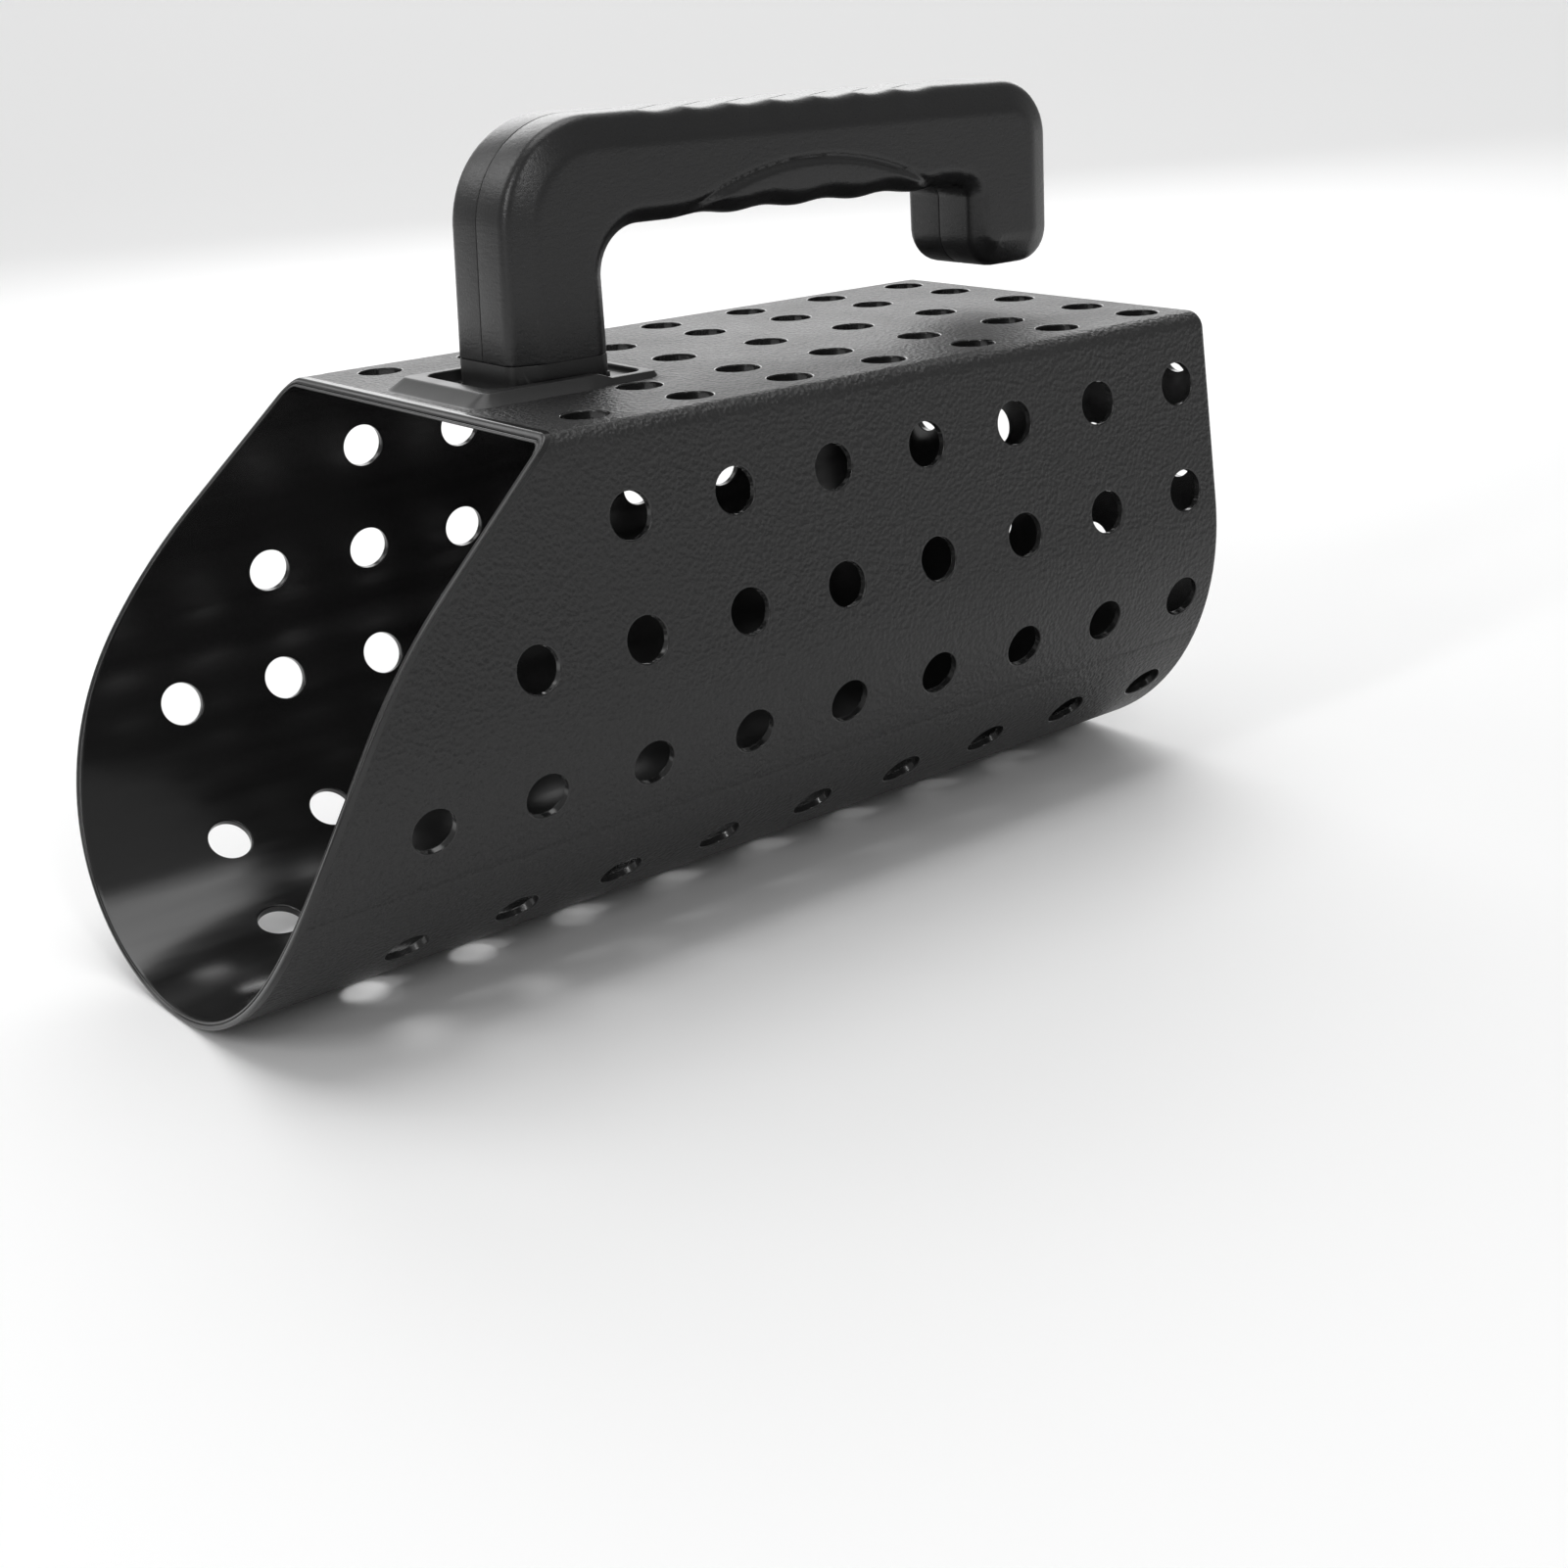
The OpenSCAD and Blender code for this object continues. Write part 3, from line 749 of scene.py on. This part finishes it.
def bevel_profile(drop, radius_a, radius_b, n=6):
    """[distance across, inset] from the seam to the flat side, rounded at both corners."""
    length = math.hypot(BEVEL_W, drop)
    across = np.array([BEVEL_W, drop]) / length
    corner_a, corner_b = np.array([GRIP_HALF_W - BEVEL_W, 0]), np.array([GRIP_HALF_W, drop])
    points = [(SEAM, 0.28), (SEAM + 0.16, 0.03), (SEAM + 0.45, 0.0), (4.0, 0.0)]
    for corner, before, after, r in ((corner_a, np.array([1.0, 0]), across, radius_a),
                                     (corner_b, across, np.array([0, 1.0]), radius_b)):
        reach = r * math.tan(math.acos(float(before @ after)) / 2)
        start, end = corner - before * reach, corner + after * reach
        for t in np.linspace(0, 1, n):
            points.append((1 - t) ** 2 * start + 2 * t * (1 - t) * corner + t * t * end)
    return np.array(points)


def palm_relief(x, z):
    """How far the crescent on the grip's side stands out, with a fine groove above it."""
    below = PALM_ARC_R - np.hypot(x - PALM_ARC_X, z - PALM_ARC_Z)
    near = smooth_step(x, *PALM_FRONT) * (1 - smooth_step(x, *PALM_REAR)) * (z < PALM_TOP)
    groove = np.exp(-((below + 0.25) / 0.5) ** 2)
    return near * (PALM_RISE * smooth_step(below, 0.0, 1.3) * (1 - 0.5 * smooth_step(below, 1.3, 7.0))
                   - PALM_GROOVE * groove)


def screw_holes(shape, side, heads):
    """Screw holes of one half. Returns their rings on the flat side and on the seam."""
    turns = np.linspace(0, 2 * math.pi, 32, endpoint=False)
    seat = GRIP_HALF_W - SCREW_HEAD_H - SCREW_SINK
    # [distance across, radius]: from the flat side with the heads, blind from the seam without
    with_head = [(GRIP_HALF_W, SEAT_R + 0.18), (GRIP_HALF_W - 0.06, SEAT_R + 0.06), (GRIP_HALF_W - 0.2, SEAT_R),
                 (seat, SEAT_R), (seat, SHANK_R), (SEAM, SHANK_R)]
    blind = [(PILOT_END, 0.02), (PILOT_END, PILOT_R), (SEAM, PILOT_R)]
    side_holes, seam_holes = [], []
    for at in (*SCREWS_AT, *FOOT_SCREWS_AT):
        made = []
        for y, r in with_head if heads else blind:
            flat = np.column_stack([at[0] + r * np.cos(turns), at[1] + r * np.sin(turns)])
            lift = palm_relief(flat[:, 0], flat[:, 1]) if y > GRIP_HALF_W - 0.2 else 0
            points = np.column_stack([flat[:, 0], side * (y + lift) + 0 * turns, flat[:, 1]])
            made.append((shape.add(points), flat))
        shape.bands([m[0][::-1] if heads else m[0] for m in made], 0)
        seam_holes.append(made[-1])
        if heads:
            side_holes.append(made[0])
        else:
            shape.face(made[0][0][::-1], 0)
    return side_holes, seam_holes


def side_grid(outline, heads):
    """Free points of the flat side, close together where the crescent stands out."""
    fine = np.array([(x, z) for x in np.arange(56, 144, 0.7) for z in np.arange(28, 42, 0.45)])
    coarse = np.array([(x, z) for x in np.arange(30, 168, 2.5) for z in np.arange(8, 50, 2.5)
                       if not (55 < x < 145 and z < 43)])
    free = np.concatenate([fine, coarse])
    clear = inside_loop(free, outline)
    for dx, dz in ((0.5, 0), (-0.5, 0), (0, 0.5), (0, -0.5)):
        clear &= inside_loop(free + [dx, dz], outline)
    for at in (*SCREWS_AT, *FOOT_SCREWS_AT) if heads else ():
        clear &= np.hypot(*(free - at).T) > SEAT_R + 0.9
    return free[clear]


def handle_shell(name, side, finish):
    """One half of the handle. The +y half has seats for the screw heads."""
    shape = Shape()
    heads = side > 0
    rings = []
    profiles = zip(bevel_profile(*OUTER_BEVEL), bevel_profile(*INNER_BEVEL))
    for (y_out, inset_out), (y_in, inset_in) in profiles:
        a = outer_chain(inset_out)
        b = inner_chain(inset_in, inset_out)[::-1]
        y = np.concatenate([np.full(len(a), y_out), np.full(len(b), y_in)])
        y[len(a):len(a) + N_TOE + 1] = y_out + (y_in - y_out) * np.linspace(0, 1, N_TOE + 1)
        flat = np.concatenate([a, b])
        lift = palm_relief(flat[:, 0], flat[:, 1]) * smooth_step(y, 8.5, 11.0)
        rings.append((shape.add(np.column_stack([flat[:, 0], side * (y + lift), flat[:, 1]])), flat))
    shape.bands([r[0] if heads else r[0][::-1] for r in rings], 0)
    side_holes, seam_holes = screw_holes(shape, side, heads)

    for (ring, outline), holes, on_side in ((rings[-1], side_holes, True), (rings[0], seam_holes, False)):
        flat, known, edges = with_holes(outline, ring, holes)
        if on_side:
            free = side_grid(outline, heads)
            lift = palm_relief(free[:, 0], free[:, 1])
            known += shape.add(np.column_stack([free[:, 0], side * (GRIP_HALF_W + lift), free[:, 1]]))
            flat.extend(free)
        shape.patch(flat, known, edges, between(outline, holes), 0, on_side == heads)
    return shape.build(name, [finish])


def sharpened(piece, degrees):
    """Smooth shading up to an angle, sharp edges beyond it."""
    mesh = piece.data
    mesh.polygons.foreach_set("use_smooth", [True] * len(mesh.polygons))
    mesh.set_sharp_from_angle(angle=math.radians(degrees))
    return piece


# ---------------- the foot
GAP, LUG_T, TRAVEL = 0.25, 2.7, 6.0
BAND_EDGE, LUG_EDGE, LUG_R = 0.12, 0.35, 0.8
TONGUE_HALF_W, TONGUE_ROOT = 9.0, 1.0


def slab(outline, levels):
    """A block from an outline in x and y, with [z, growth] levels for its rounded edges."""
    shape = Shape()
    centre = outline.mean(axis=0)
    rings = []
    for z, grow in levels:
        away = outline - centre
        flat = outline + grow * away / np.linalg.norm(away, axis=1, keepdims=True)
        rings.append(shape.add(np.column_stack([flat, np.full(len(flat), z)])))
    shape.bands(rings, 0)
    shape.face(rings[0][::-1], 0)
    shape.face(rings[-1], 0)
    return shape


def edge_levels(low, high, r):
    turns = np.radians([0, 30, 60, 90])
    rise = [(low + r * (1 - math.sin(a)), -r * (1 - math.cos(a))) for a in turns[::-1]]
    return rise + [(high - r * (1 - math.sin(a)), -r * (1 - math.cos(a))) for a in turns]


def joined(name, parts, finish):
    """One mesh from several closed ones."""
    first = parts[0].build(name, [finish])
    for k, part in enumerate(parts[1:]):
        other = part.build(f"{name}_{k}", [finish])
        union = first.modifiers.new("union", "BOOLEAN")
        union.operation, union.solver, union.object = "UNION", "MANIFOLD", other
        made = bpy.data.meshes.new_from_object(first.evaluated_get(bpy.context.evaluated_depsgraph_get()))
        first.modifiers.clear()
        first.data = made
        bpy.data.objects.remove(other)
    return sharpened(first, 40)


def handle_foot(finish):
    """The band under the post, the spigot through the slot, two lugs and a tongue, in one block."""
    out, under = bevel_profile(*OUTER_BEVEL)[3:], bevel_profile(*INNER_BEVEL)[3:]
    half = [(POST_FRONT - POST_FLARE + i, y) for y, i in out] + [(POST_REAR - i, y) for y, i in under[::-1]]
    outline = np.array(half + [(x, -y) for x, y in half[::-1]])[::-1]
    low = -WALL - GAP
    parts = [slab(outline, edge_levels(GAP, SHELL_FOOT_Z - 0.05, BAND_EDGE))]
    for x0, x1, half_w, z0, z1 in (
            (POST_FRONT + 0.5, POST_REAR - 0.4, SLOT_HALF_W - GAP, low - LUG_T + 0.02, GAP + 1.5),
            (POST_FRONT + 0.5, POST_FRONT + TRAVEL - 0.1, RECESS_HALF_W - GAP, low - LUG_T, low),
            (POST_REAR - TONGUE_ROOT, POST_REAR + TRAVEL - TONGUE_ROOT, TONGUE_HALF_W, low - LUG_T, low)):
        parts.append(slab(rounded(box_corners(x0, x1, half_w), LUG_R), edge_levels(z0, z1, LUG_EDGE)))
    return joined("foot_block", parts, finish)


# ---------------- screws
CORE_R, CREST_R, THREAD_STEP, POINT_H = 1.12, 1.42, 0.45, 1.6
CROSS_DEPTH, CROSS_ARM, CROSS_HALF_W, CROSS_OVER = 1.3, 1.55, 0.36, 0.5
SHELL_SCREW_TIP, FOOT_SCREW_TIP = -8.5, -10.8  # how far across the points reach


def cross_recess(name, at, head_top, finish):
    """A cutter for the cross in a screw's head, narrower towards its bottom."""
    shape = Shape()
    arm, width = CROSS_ARM, CROSS_HALF_W
    corners = [(arm, width), (width, width), (width, arm), (-width, arm), (-width, width), (-arm, width)]
    outline = rounded(corners + [(-x, -z) for x, z in corners], 0.1)
    ends = []
    for y, size in ((head_top + CROSS_OVER, 1.08), (head_top - CROSS_DEPTH, 0.55)):
        x, z = at[0] + outline[:, 0] * size, at[1] + outline[:, 1] * size
        ends.append(shape.add(np.column_stack([x, np.full(len(outline), y), z])))
    shape.bands(ends, 0)
    shape.face(ends[0][::-1], 0)
    shape.face(ends[1], 0)
    return shape.build(name, [finish])


def screw(name, at, tip, finish):
    """A pan-head screw with a cross recess, its head in the +y shell."""
    seat = GRIP_HALF_W - SCREW_HEAD_H - SCREW_SINK
    turns = np.linspace(0, 2 * math.pi, 40, endpoint=False)
    r_head, h_head = SCREW_HEAD_R, SCREW_HEAD_H
    profile = [(0.35, tip), (1.1, tip + POINT_H)]
    y, crest = tip + POINT_H, 0
    while y < seat - 1.2:
        profile.append((CREST_R if crest % 2 else CORE_R, y + 0.3))
        y += THREAD_STEP
        crest += 1
    profile += [(1.2, seat - 0.3), (1.2, seat), (r_head - 0.12, seat), (r_head, seat + 0.12)]
    profile += [(r_head, seat + h_head * 0.45)]
    profile += [(r_head * math.cos(a) ** 0.8, seat + h_head * (0.45 + 0.55 * math.sin(a)))
                for a in np.radians([15, 30, 45, 60, 72])]
    shape = Shape()
    rings = []
    for r, y in profile:
        x, z = at[0] + r * np.cos(turns), at[1] + r * np.sin(turns)
        rings.append(shape.add(np.column_stack([x, np.full(len(turns), y), z])))
    shape.bands([r[::-1] for r in rings], 0)
    shape.face(rings[0], 0)
    shape.face(rings[-1][::-1], 0)
    piece = shape.build(name, [finish])
    cutter = cross_recess(name + "_cut", at, seat + h_head, finish)
    cut = piece.modifiers.new("cut", "BOOLEAN")
    cut.operation, cut.solver, cut.object = "DIFFERENCE", "EXACT", cutter
    piece.data = bpy.data.meshes.new_from_object(piece.evaluated_get(bpy.context.evaluated_depsgraph_get()))
    piece.modifiers.clear()
    bpy.data.objects.remove(cutter)
    return sharpened(piece, 35)


# ---------------- materials
class Nodes:
    """Short calls for building one material's node tree."""

    def __init__(self, name):
        self.material = bpy.data.materials.new(name)
        self.material.use_nodes = True
        self.tree = self.material.node_tree
        self.shader = self.tree.nodes["Principled BSDF"]
        self.place = self.new("ShaderNodeTexCoord").outputs["Object"]

    def new(self, kind, **settings):
        node = self.tree.nodes.new(kind)
        for key, value in settings.items():
            setattr(node, key, value)
        return node

    def put(self, target, value):
        if isinstance(value, bpy.types.NodeSocket):
            self.tree.links.new(value, target)
        else:
            target.default_value = value

    def stretched(self, x, y, z):
        node = self.new("ShaderNodeMapping")
        self.put(node.inputs["Vector"], self.place)
        node.inputs["Scale"].default_value = (x, y, z)
        return node.outputs[0]

    def noise(self, size, detail=2.0, roughness=0.5, place=None):
        """Soft noise with features of about that size in metres."""
        node = self.new("ShaderNodeTexNoise")
        self.put(node.inputs["Vector"], place or self.place)
        self.put(node.inputs["Scale"], 1 / size)
        self.put(node.inputs["Detail"], detail)
        self.put(node.inputs["Roughness"], roughness)
        return node.outputs["Fac"]

    def cells(self, size, smoothness=0.5):
        """Rounded cells of about that size in metres, as on leather."""
        node = self.new("ShaderNodeTexVoronoi", feature="SMOOTH_F1")
        self.put(node.inputs["Vector"], self.place)
        self.put(node.inputs["Scale"], 1 / size)
        self.put(node.inputs["Smoothness"], smoothness)
        return node.outputs["Distance"]

    def maths(self, operation, a, b):
        node = self.new("ShaderNodeMath", operation=operation)
        self.put(node.inputs[0], a)
        self.put(node.inputs[1], b)
        return node.outputs[0]

    def spread(self, value, low, high, to_low, to_high):
        node = self.new("ShaderNodeMapRange")
        self.put(node.inputs["Value"], value)
        ends = {"From Min": low, "From Max": high, "To Min": to_low, "To Max": to_high}
        for key, number in ends.items():
            node.inputs[key].default_value = number
        return node.outputs[0]

    def bump(self, height, distance, strength):
        node = self.new("ShaderNodeBump")
        node.inputs["Strength"].default_value = strength
        node.inputs["Distance"].default_value = distance
        self.put(node.inputs["Height"], height)
        return node.outputs[0]

    def colour(self, value, dark, light):
        node = self.new("ShaderNodeValToRGB")
        self.put(node.inputs[0], value)
        node.color_ramp.elements[0].color = (*dark, 1)
        node.color_ramp.elements[1].color = (*light, 1)
        return node.outputs[0]

    def edge_highlight(self, colour, roughness, pale=0.035, edge_roughening=0.10):
        """Sharp edges painted a little paler than the faces beside them, a painted highlight along the edges,
        and made a little rougher.
        """
        sharp = self.new("ShaderNodeNewGeometry").outputs["Pointiness"]
        # Painted highlight: convex edges found by pointiness are mixed towards a paler grey; the same mask also
        # raises the roughness there.
        edge_highlight_mask = self.maths("MULTIPLY", self.spread(sharp, 0.53, 0.64, 0, 1), self.noise(0.006, 2))
        mix = self.new("ShaderNodeMix", data_type="RGBA")  # a colour mix: factor, A and B below
        self.put(mix.inputs[0], edge_highlight_mask)
        self.put(mix.inputs[6], colour)
        self.put(mix.inputs[7], (pale, pale, pale, 1))
        return mix.outputs[2], self.maths("ADD", roughness, self.maths("MULTIPLY", edge_highlight_mask, edge_roughening))

    def finish(self, colour, roughness, normal=None, metal=0.0):
        self.put(self.shader.inputs["Base Color"], colour)
        self.put(self.shader.inputs["Roughness"], roughness)
        self.put(self.shader.inputs["Metallic"], metal)
        if normal is not None:
            self.put(self.shader.inputs["Normal"], normal)
        return self.material


def leather_grain_plastic():
    """Outside of the trough: black ABS with a fine leather grain."""
    n = Nodes("plastic_leather_grain")
    pores = n.cells(0.0010, 0.5)
    fine = n.noise(0.0006, 2, 0.6)
    height = n.maths("ADD", n.maths("MULTIPLY", pores, 0.9), n.maths("MULTIPLY", fine, 0.8))
    patchy = n.noise(0.03, 2)
    colour = n.colour(n.maths("ADD", n.maths("MULTIPLY", fine, 0.6), n.maths("MULTIPLY", patchy, 0.4)),
                      (0.002, 0.002, 0.0022), (0.020, 0.020, 0.020))
    rough = n.spread(n.maths("ADD", fine, patchy), 0.7, 1.3, 0.38, 0.52)
    # Convex edges get a painted highlight: a paler colour there.
    return n.finish(*n.edge_highlight(colour, rough), n.bump(height, 0.00032, 1.0))


def glossy_plastic():
    """Inside of the trough: the same plastic off a polished mould core."""
    n = Nodes("plastic_polished")
    swirl = n.noise(0.035, 1)
    streaks = n.noise(0.004, 2, 0.5, n.stretched(0.12, 1, 1))
    colour = n.colour(swirl, (0.009, 0.009, 0.009), (0.015, 0.015, 0.015))
    rough = n.spread(streaks, 0.3, 0.7, 0.13, 0.22)
    return n.finish(colour, rough, n.bump(swirl, 0.0012, 0.25))


def smooth_plastic(name, rough_low, rough_high, dark=0.010, light=0.016):
    """Edges, hole walls and the socket: smooth, with a trace of unevenness."""
    n = Nodes(name)
    cloud = n.noise(0.012, 2)
    fine = n.noise(0.0006, 2)
    colour = n.colour(cloud, (dark,) * 3, (light,) * 3)
    rough = n.spread(cloud, 0.3, 0.7, rough_low, rough_high)
    # Convex edges get a painted highlight: a paler colour there.
    return n.finish(*n.edge_highlight(colour, rough), n.bump(fine, 0.00003, 0.4))


def grip_plastic():
    """The handle: satin, with a fine spark grain that runs across."""
    n = Nodes("plastic_spark_grain")
    spark = n.noise(0.0006, 3, 0.65)
    across = n.noise(0.0016, 3, 0.6, n.stretched(1.0, 0.45, 2.4))
    height = n.maths("ADD", n.maths("MULTIPLY", spark, 0.6), n.maths("MULTIPLY", across, 0.6))
    colour = n.colour(n.noise(0.02, 2), (0.007, 0.007, 0.0073), (0.011, 0.011, 0.0113))
    rough = n.spread(spark, 0.3, 0.7, 0.27, 0.36)
    # Convex edges get a painted highlight: a paler colour there.
    return n.finish(*n.edge_highlight(colour, rough), n.bump(height, 0.00014, 0.6))


def plated_steel():
    """The screws: bright zinc, with fine marks around."""
    n = Nodes("zinc_plated_steel")
    turned = n.noise(0.0004, 2, 0.5, n.stretched(1, 0.15, 1))
    colour = n.colour(n.noise(0.003, 2), (0.36, 0.36, 0.37), (0.52, 0.52, 0.53))
    rough = n.spread(turned, 0.3, 0.7, 0.22, 0.38)
    # The screws' convex edges get a painted highlight: a paler grey there.
    return n.finish(*n.edge_highlight(colour, rough, 0.60), n.bump(turned, 0.00002, 0.3), 1.0)


def floor_paint():
    n = Nodes("floor_pale")
    return n.finish((0.92, 0.92, 0.92, 1), 0.7)


# ---------------- stage, lights and camera
FLOOR_HALF = 30.0  # m
BRIGHT_WALL = (0.545, 0.755, 0.365)  # towards the middle of the bright wall
BRIGHT_FROM, BRIGHT_TO = 0.80, 0.99  # cosine from that direction
WORLD_DIM, WORLD_BRIGHT = 0.36, 1.45
VIEW_FROM = Vector((-0.2664, -0.4146, 0.1948))
VIEW_AXES = (Vector((0.7917, -0.6056, -0.0798)), Vector((0.2722, 0.2329, 0.9335)),
             Vector((-0.5468, -0.7609, 0.3492)))


def camera():
    """A 54.8 mm lens, looking down on the mouth and the near side."""
    data = bpy.data.cameras.new("camera")
    data.sensor_width = 36.0
    data.lens = 54.78
    data.clip_start = 0.01
    cam = bpy.data.objects.new("camera", data)
    bpy.context.scene.collection.objects.link(cam)
    cam.matrix_world = Matrix.Translation(VIEW_FROM) @ Matrix(VIEW_AXES).transposed().to_4x4()
    bpy.context.scene.camera = cam


def softbox(name, place, target, width, height, watts):
    data = bpy.data.lights.new(name, "AREA")
    data.shape = "RECTANGLE"
    data.size, data.size_y = width, height
    data.energy = watts
    lamp = bpy.data.objects.new(name, data)
    bpy.context.scene.collection.objects.link(lamp)
    lamp.location = place
    lamp.rotation_euler = (Vector(target) - Vector(place)).to_track_quat("-Z", "Y").to_euler()


def studio_world():
    """White walls all round, brighter behind the object than behind the camera."""
    world = bpy.data.worlds.new("studio_white")
    bpy.context.scene.world = world
    world.use_nodes = True
    tree = world.node_tree
    place = tree.nodes.new("ShaderNodeTexCoord")
    toward = tree.nodes.new("ShaderNodeVectorMath")
    toward.operation = "DOT_PRODUCT"
    toward.inputs[1].default_value = BRIGHT_WALL
    level = tree.nodes.new("ShaderNodeMapRange")
    level.interpolation_type = "SMOOTHSTEP"
    ends = {"From Min": BRIGHT_FROM, "From Max": BRIGHT_TO, "To Min": WORLD_DIM, "To Max": WORLD_BRIGHT}
    for key, number in ends.items():
        level.inputs[key].default_value = number
    tree.links.new(place.outputs["Generated"], toward.inputs[0])
    tree.links.new(toward.outputs["Value"], level.inputs["Value"])
    background = tree.nodes["Background"]
    background.inputs["Color"].default_value = (1, 1, 1, 1)
    tree.links.new(level.outputs[0], background.inputs["Strength"])


def overhead_light():
    """Broad, even light from above, as from a white ceiling."""
    sun = bpy.data.lights.new("overhead", "SUN")
    sun.energy, sun.angle = 1.15, math.radians(45)
    lamp = bpy.data.objects.new("overhead", sun)
    bpy.context.scene.collection.objects.link(lamp)
    lamp.rotation_euler = Vector((-0.12, -0.2, -1.0)).to_track_quat("-Z", "Y").to_euler()


def studio():
    mesh = bpy.data.meshes.new("floor")
    h = FLOOR_HALF
    mesh.from_pydata([(-h, -h, 0), (h, -h, 0), (h, h, 0), (-h, h, 0)], [], [(0, 1, 2, 3)])
    mesh.materials.append(floor_paint())
    floor = bpy.data.objects.new("floor", mesh)
    bpy.context.scene.collection.objects.link(floor)
    studio_world()
    middle = (0, 0, 0.08)
    softbox("behind", (0.57, 0.74, 0.55), middle, 0.9, 0.55, 2.6)
    softbox("behind_left", (-0.40, 0.88, 0.72), middle, 0.45, 0.45, 1.1)
    overhead_light()
    softbox("left", (-0.9, -0.25, 0.45), middle, 0.35, 0.7, 0.4)
    softbox("left_strip", (-0.95, -0.15, 0.72), middle, 0.12, 0.5, 2.2)
    softbox("front_strip", (-0.25, -0.95, 0.72), middle, 0.10, 0.5, 1.6)
    bpy.context.scene.view_settings.view_transform = "Standard"


# ---------------- putting it together
def place_piece(piece, body, node):
    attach(piece, body)
    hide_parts(node)


camera()
studio()
edge_finish = smooth_plastic("plastic_edges", 0.13, 0.24)
socket_finish = smooth_plastic("plastic_socket", 0.36, 0.46)
place_piece(scoop_shell([leather_grain_plastic(), glossy_plastic(), edge_finish, socket_finish]),
            "scoop", "scoop_body")
grip_finish = grip_plastic()
for name, side, node in (("grip_near", -1, "handle_left_shell"), ("grip_far", 1, "handle_right_shell")):
    place_piece(sharpened(handle_shell(name, side, grip_finish), 50), "handle", node)
# Painted shade: the foot's colour is darker than the other plastic's, standing in for the shade the band sits
# in under the post.
foot_painted_shade_finish = smooth_plastic("plastic_foot_painted_shade", 0.36, 0.46, 0.005, 0.009)
place_piece(handle_foot(foot_painted_shade_finish), "handle", "handle_foot")
steel = plated_steel()
for group, places, tip in (("shell_screws", SCREWS_AT, SHELL_SCREW_TIP),
                           ("foot_screws", FOOT_SCREWS_AT, FOOT_SCREW_TIP)):
    for k, at in enumerate(places):
        place_piece(screw(f"{group[:-1]}_{k + 1}", at, tip, steel), "handle", group)
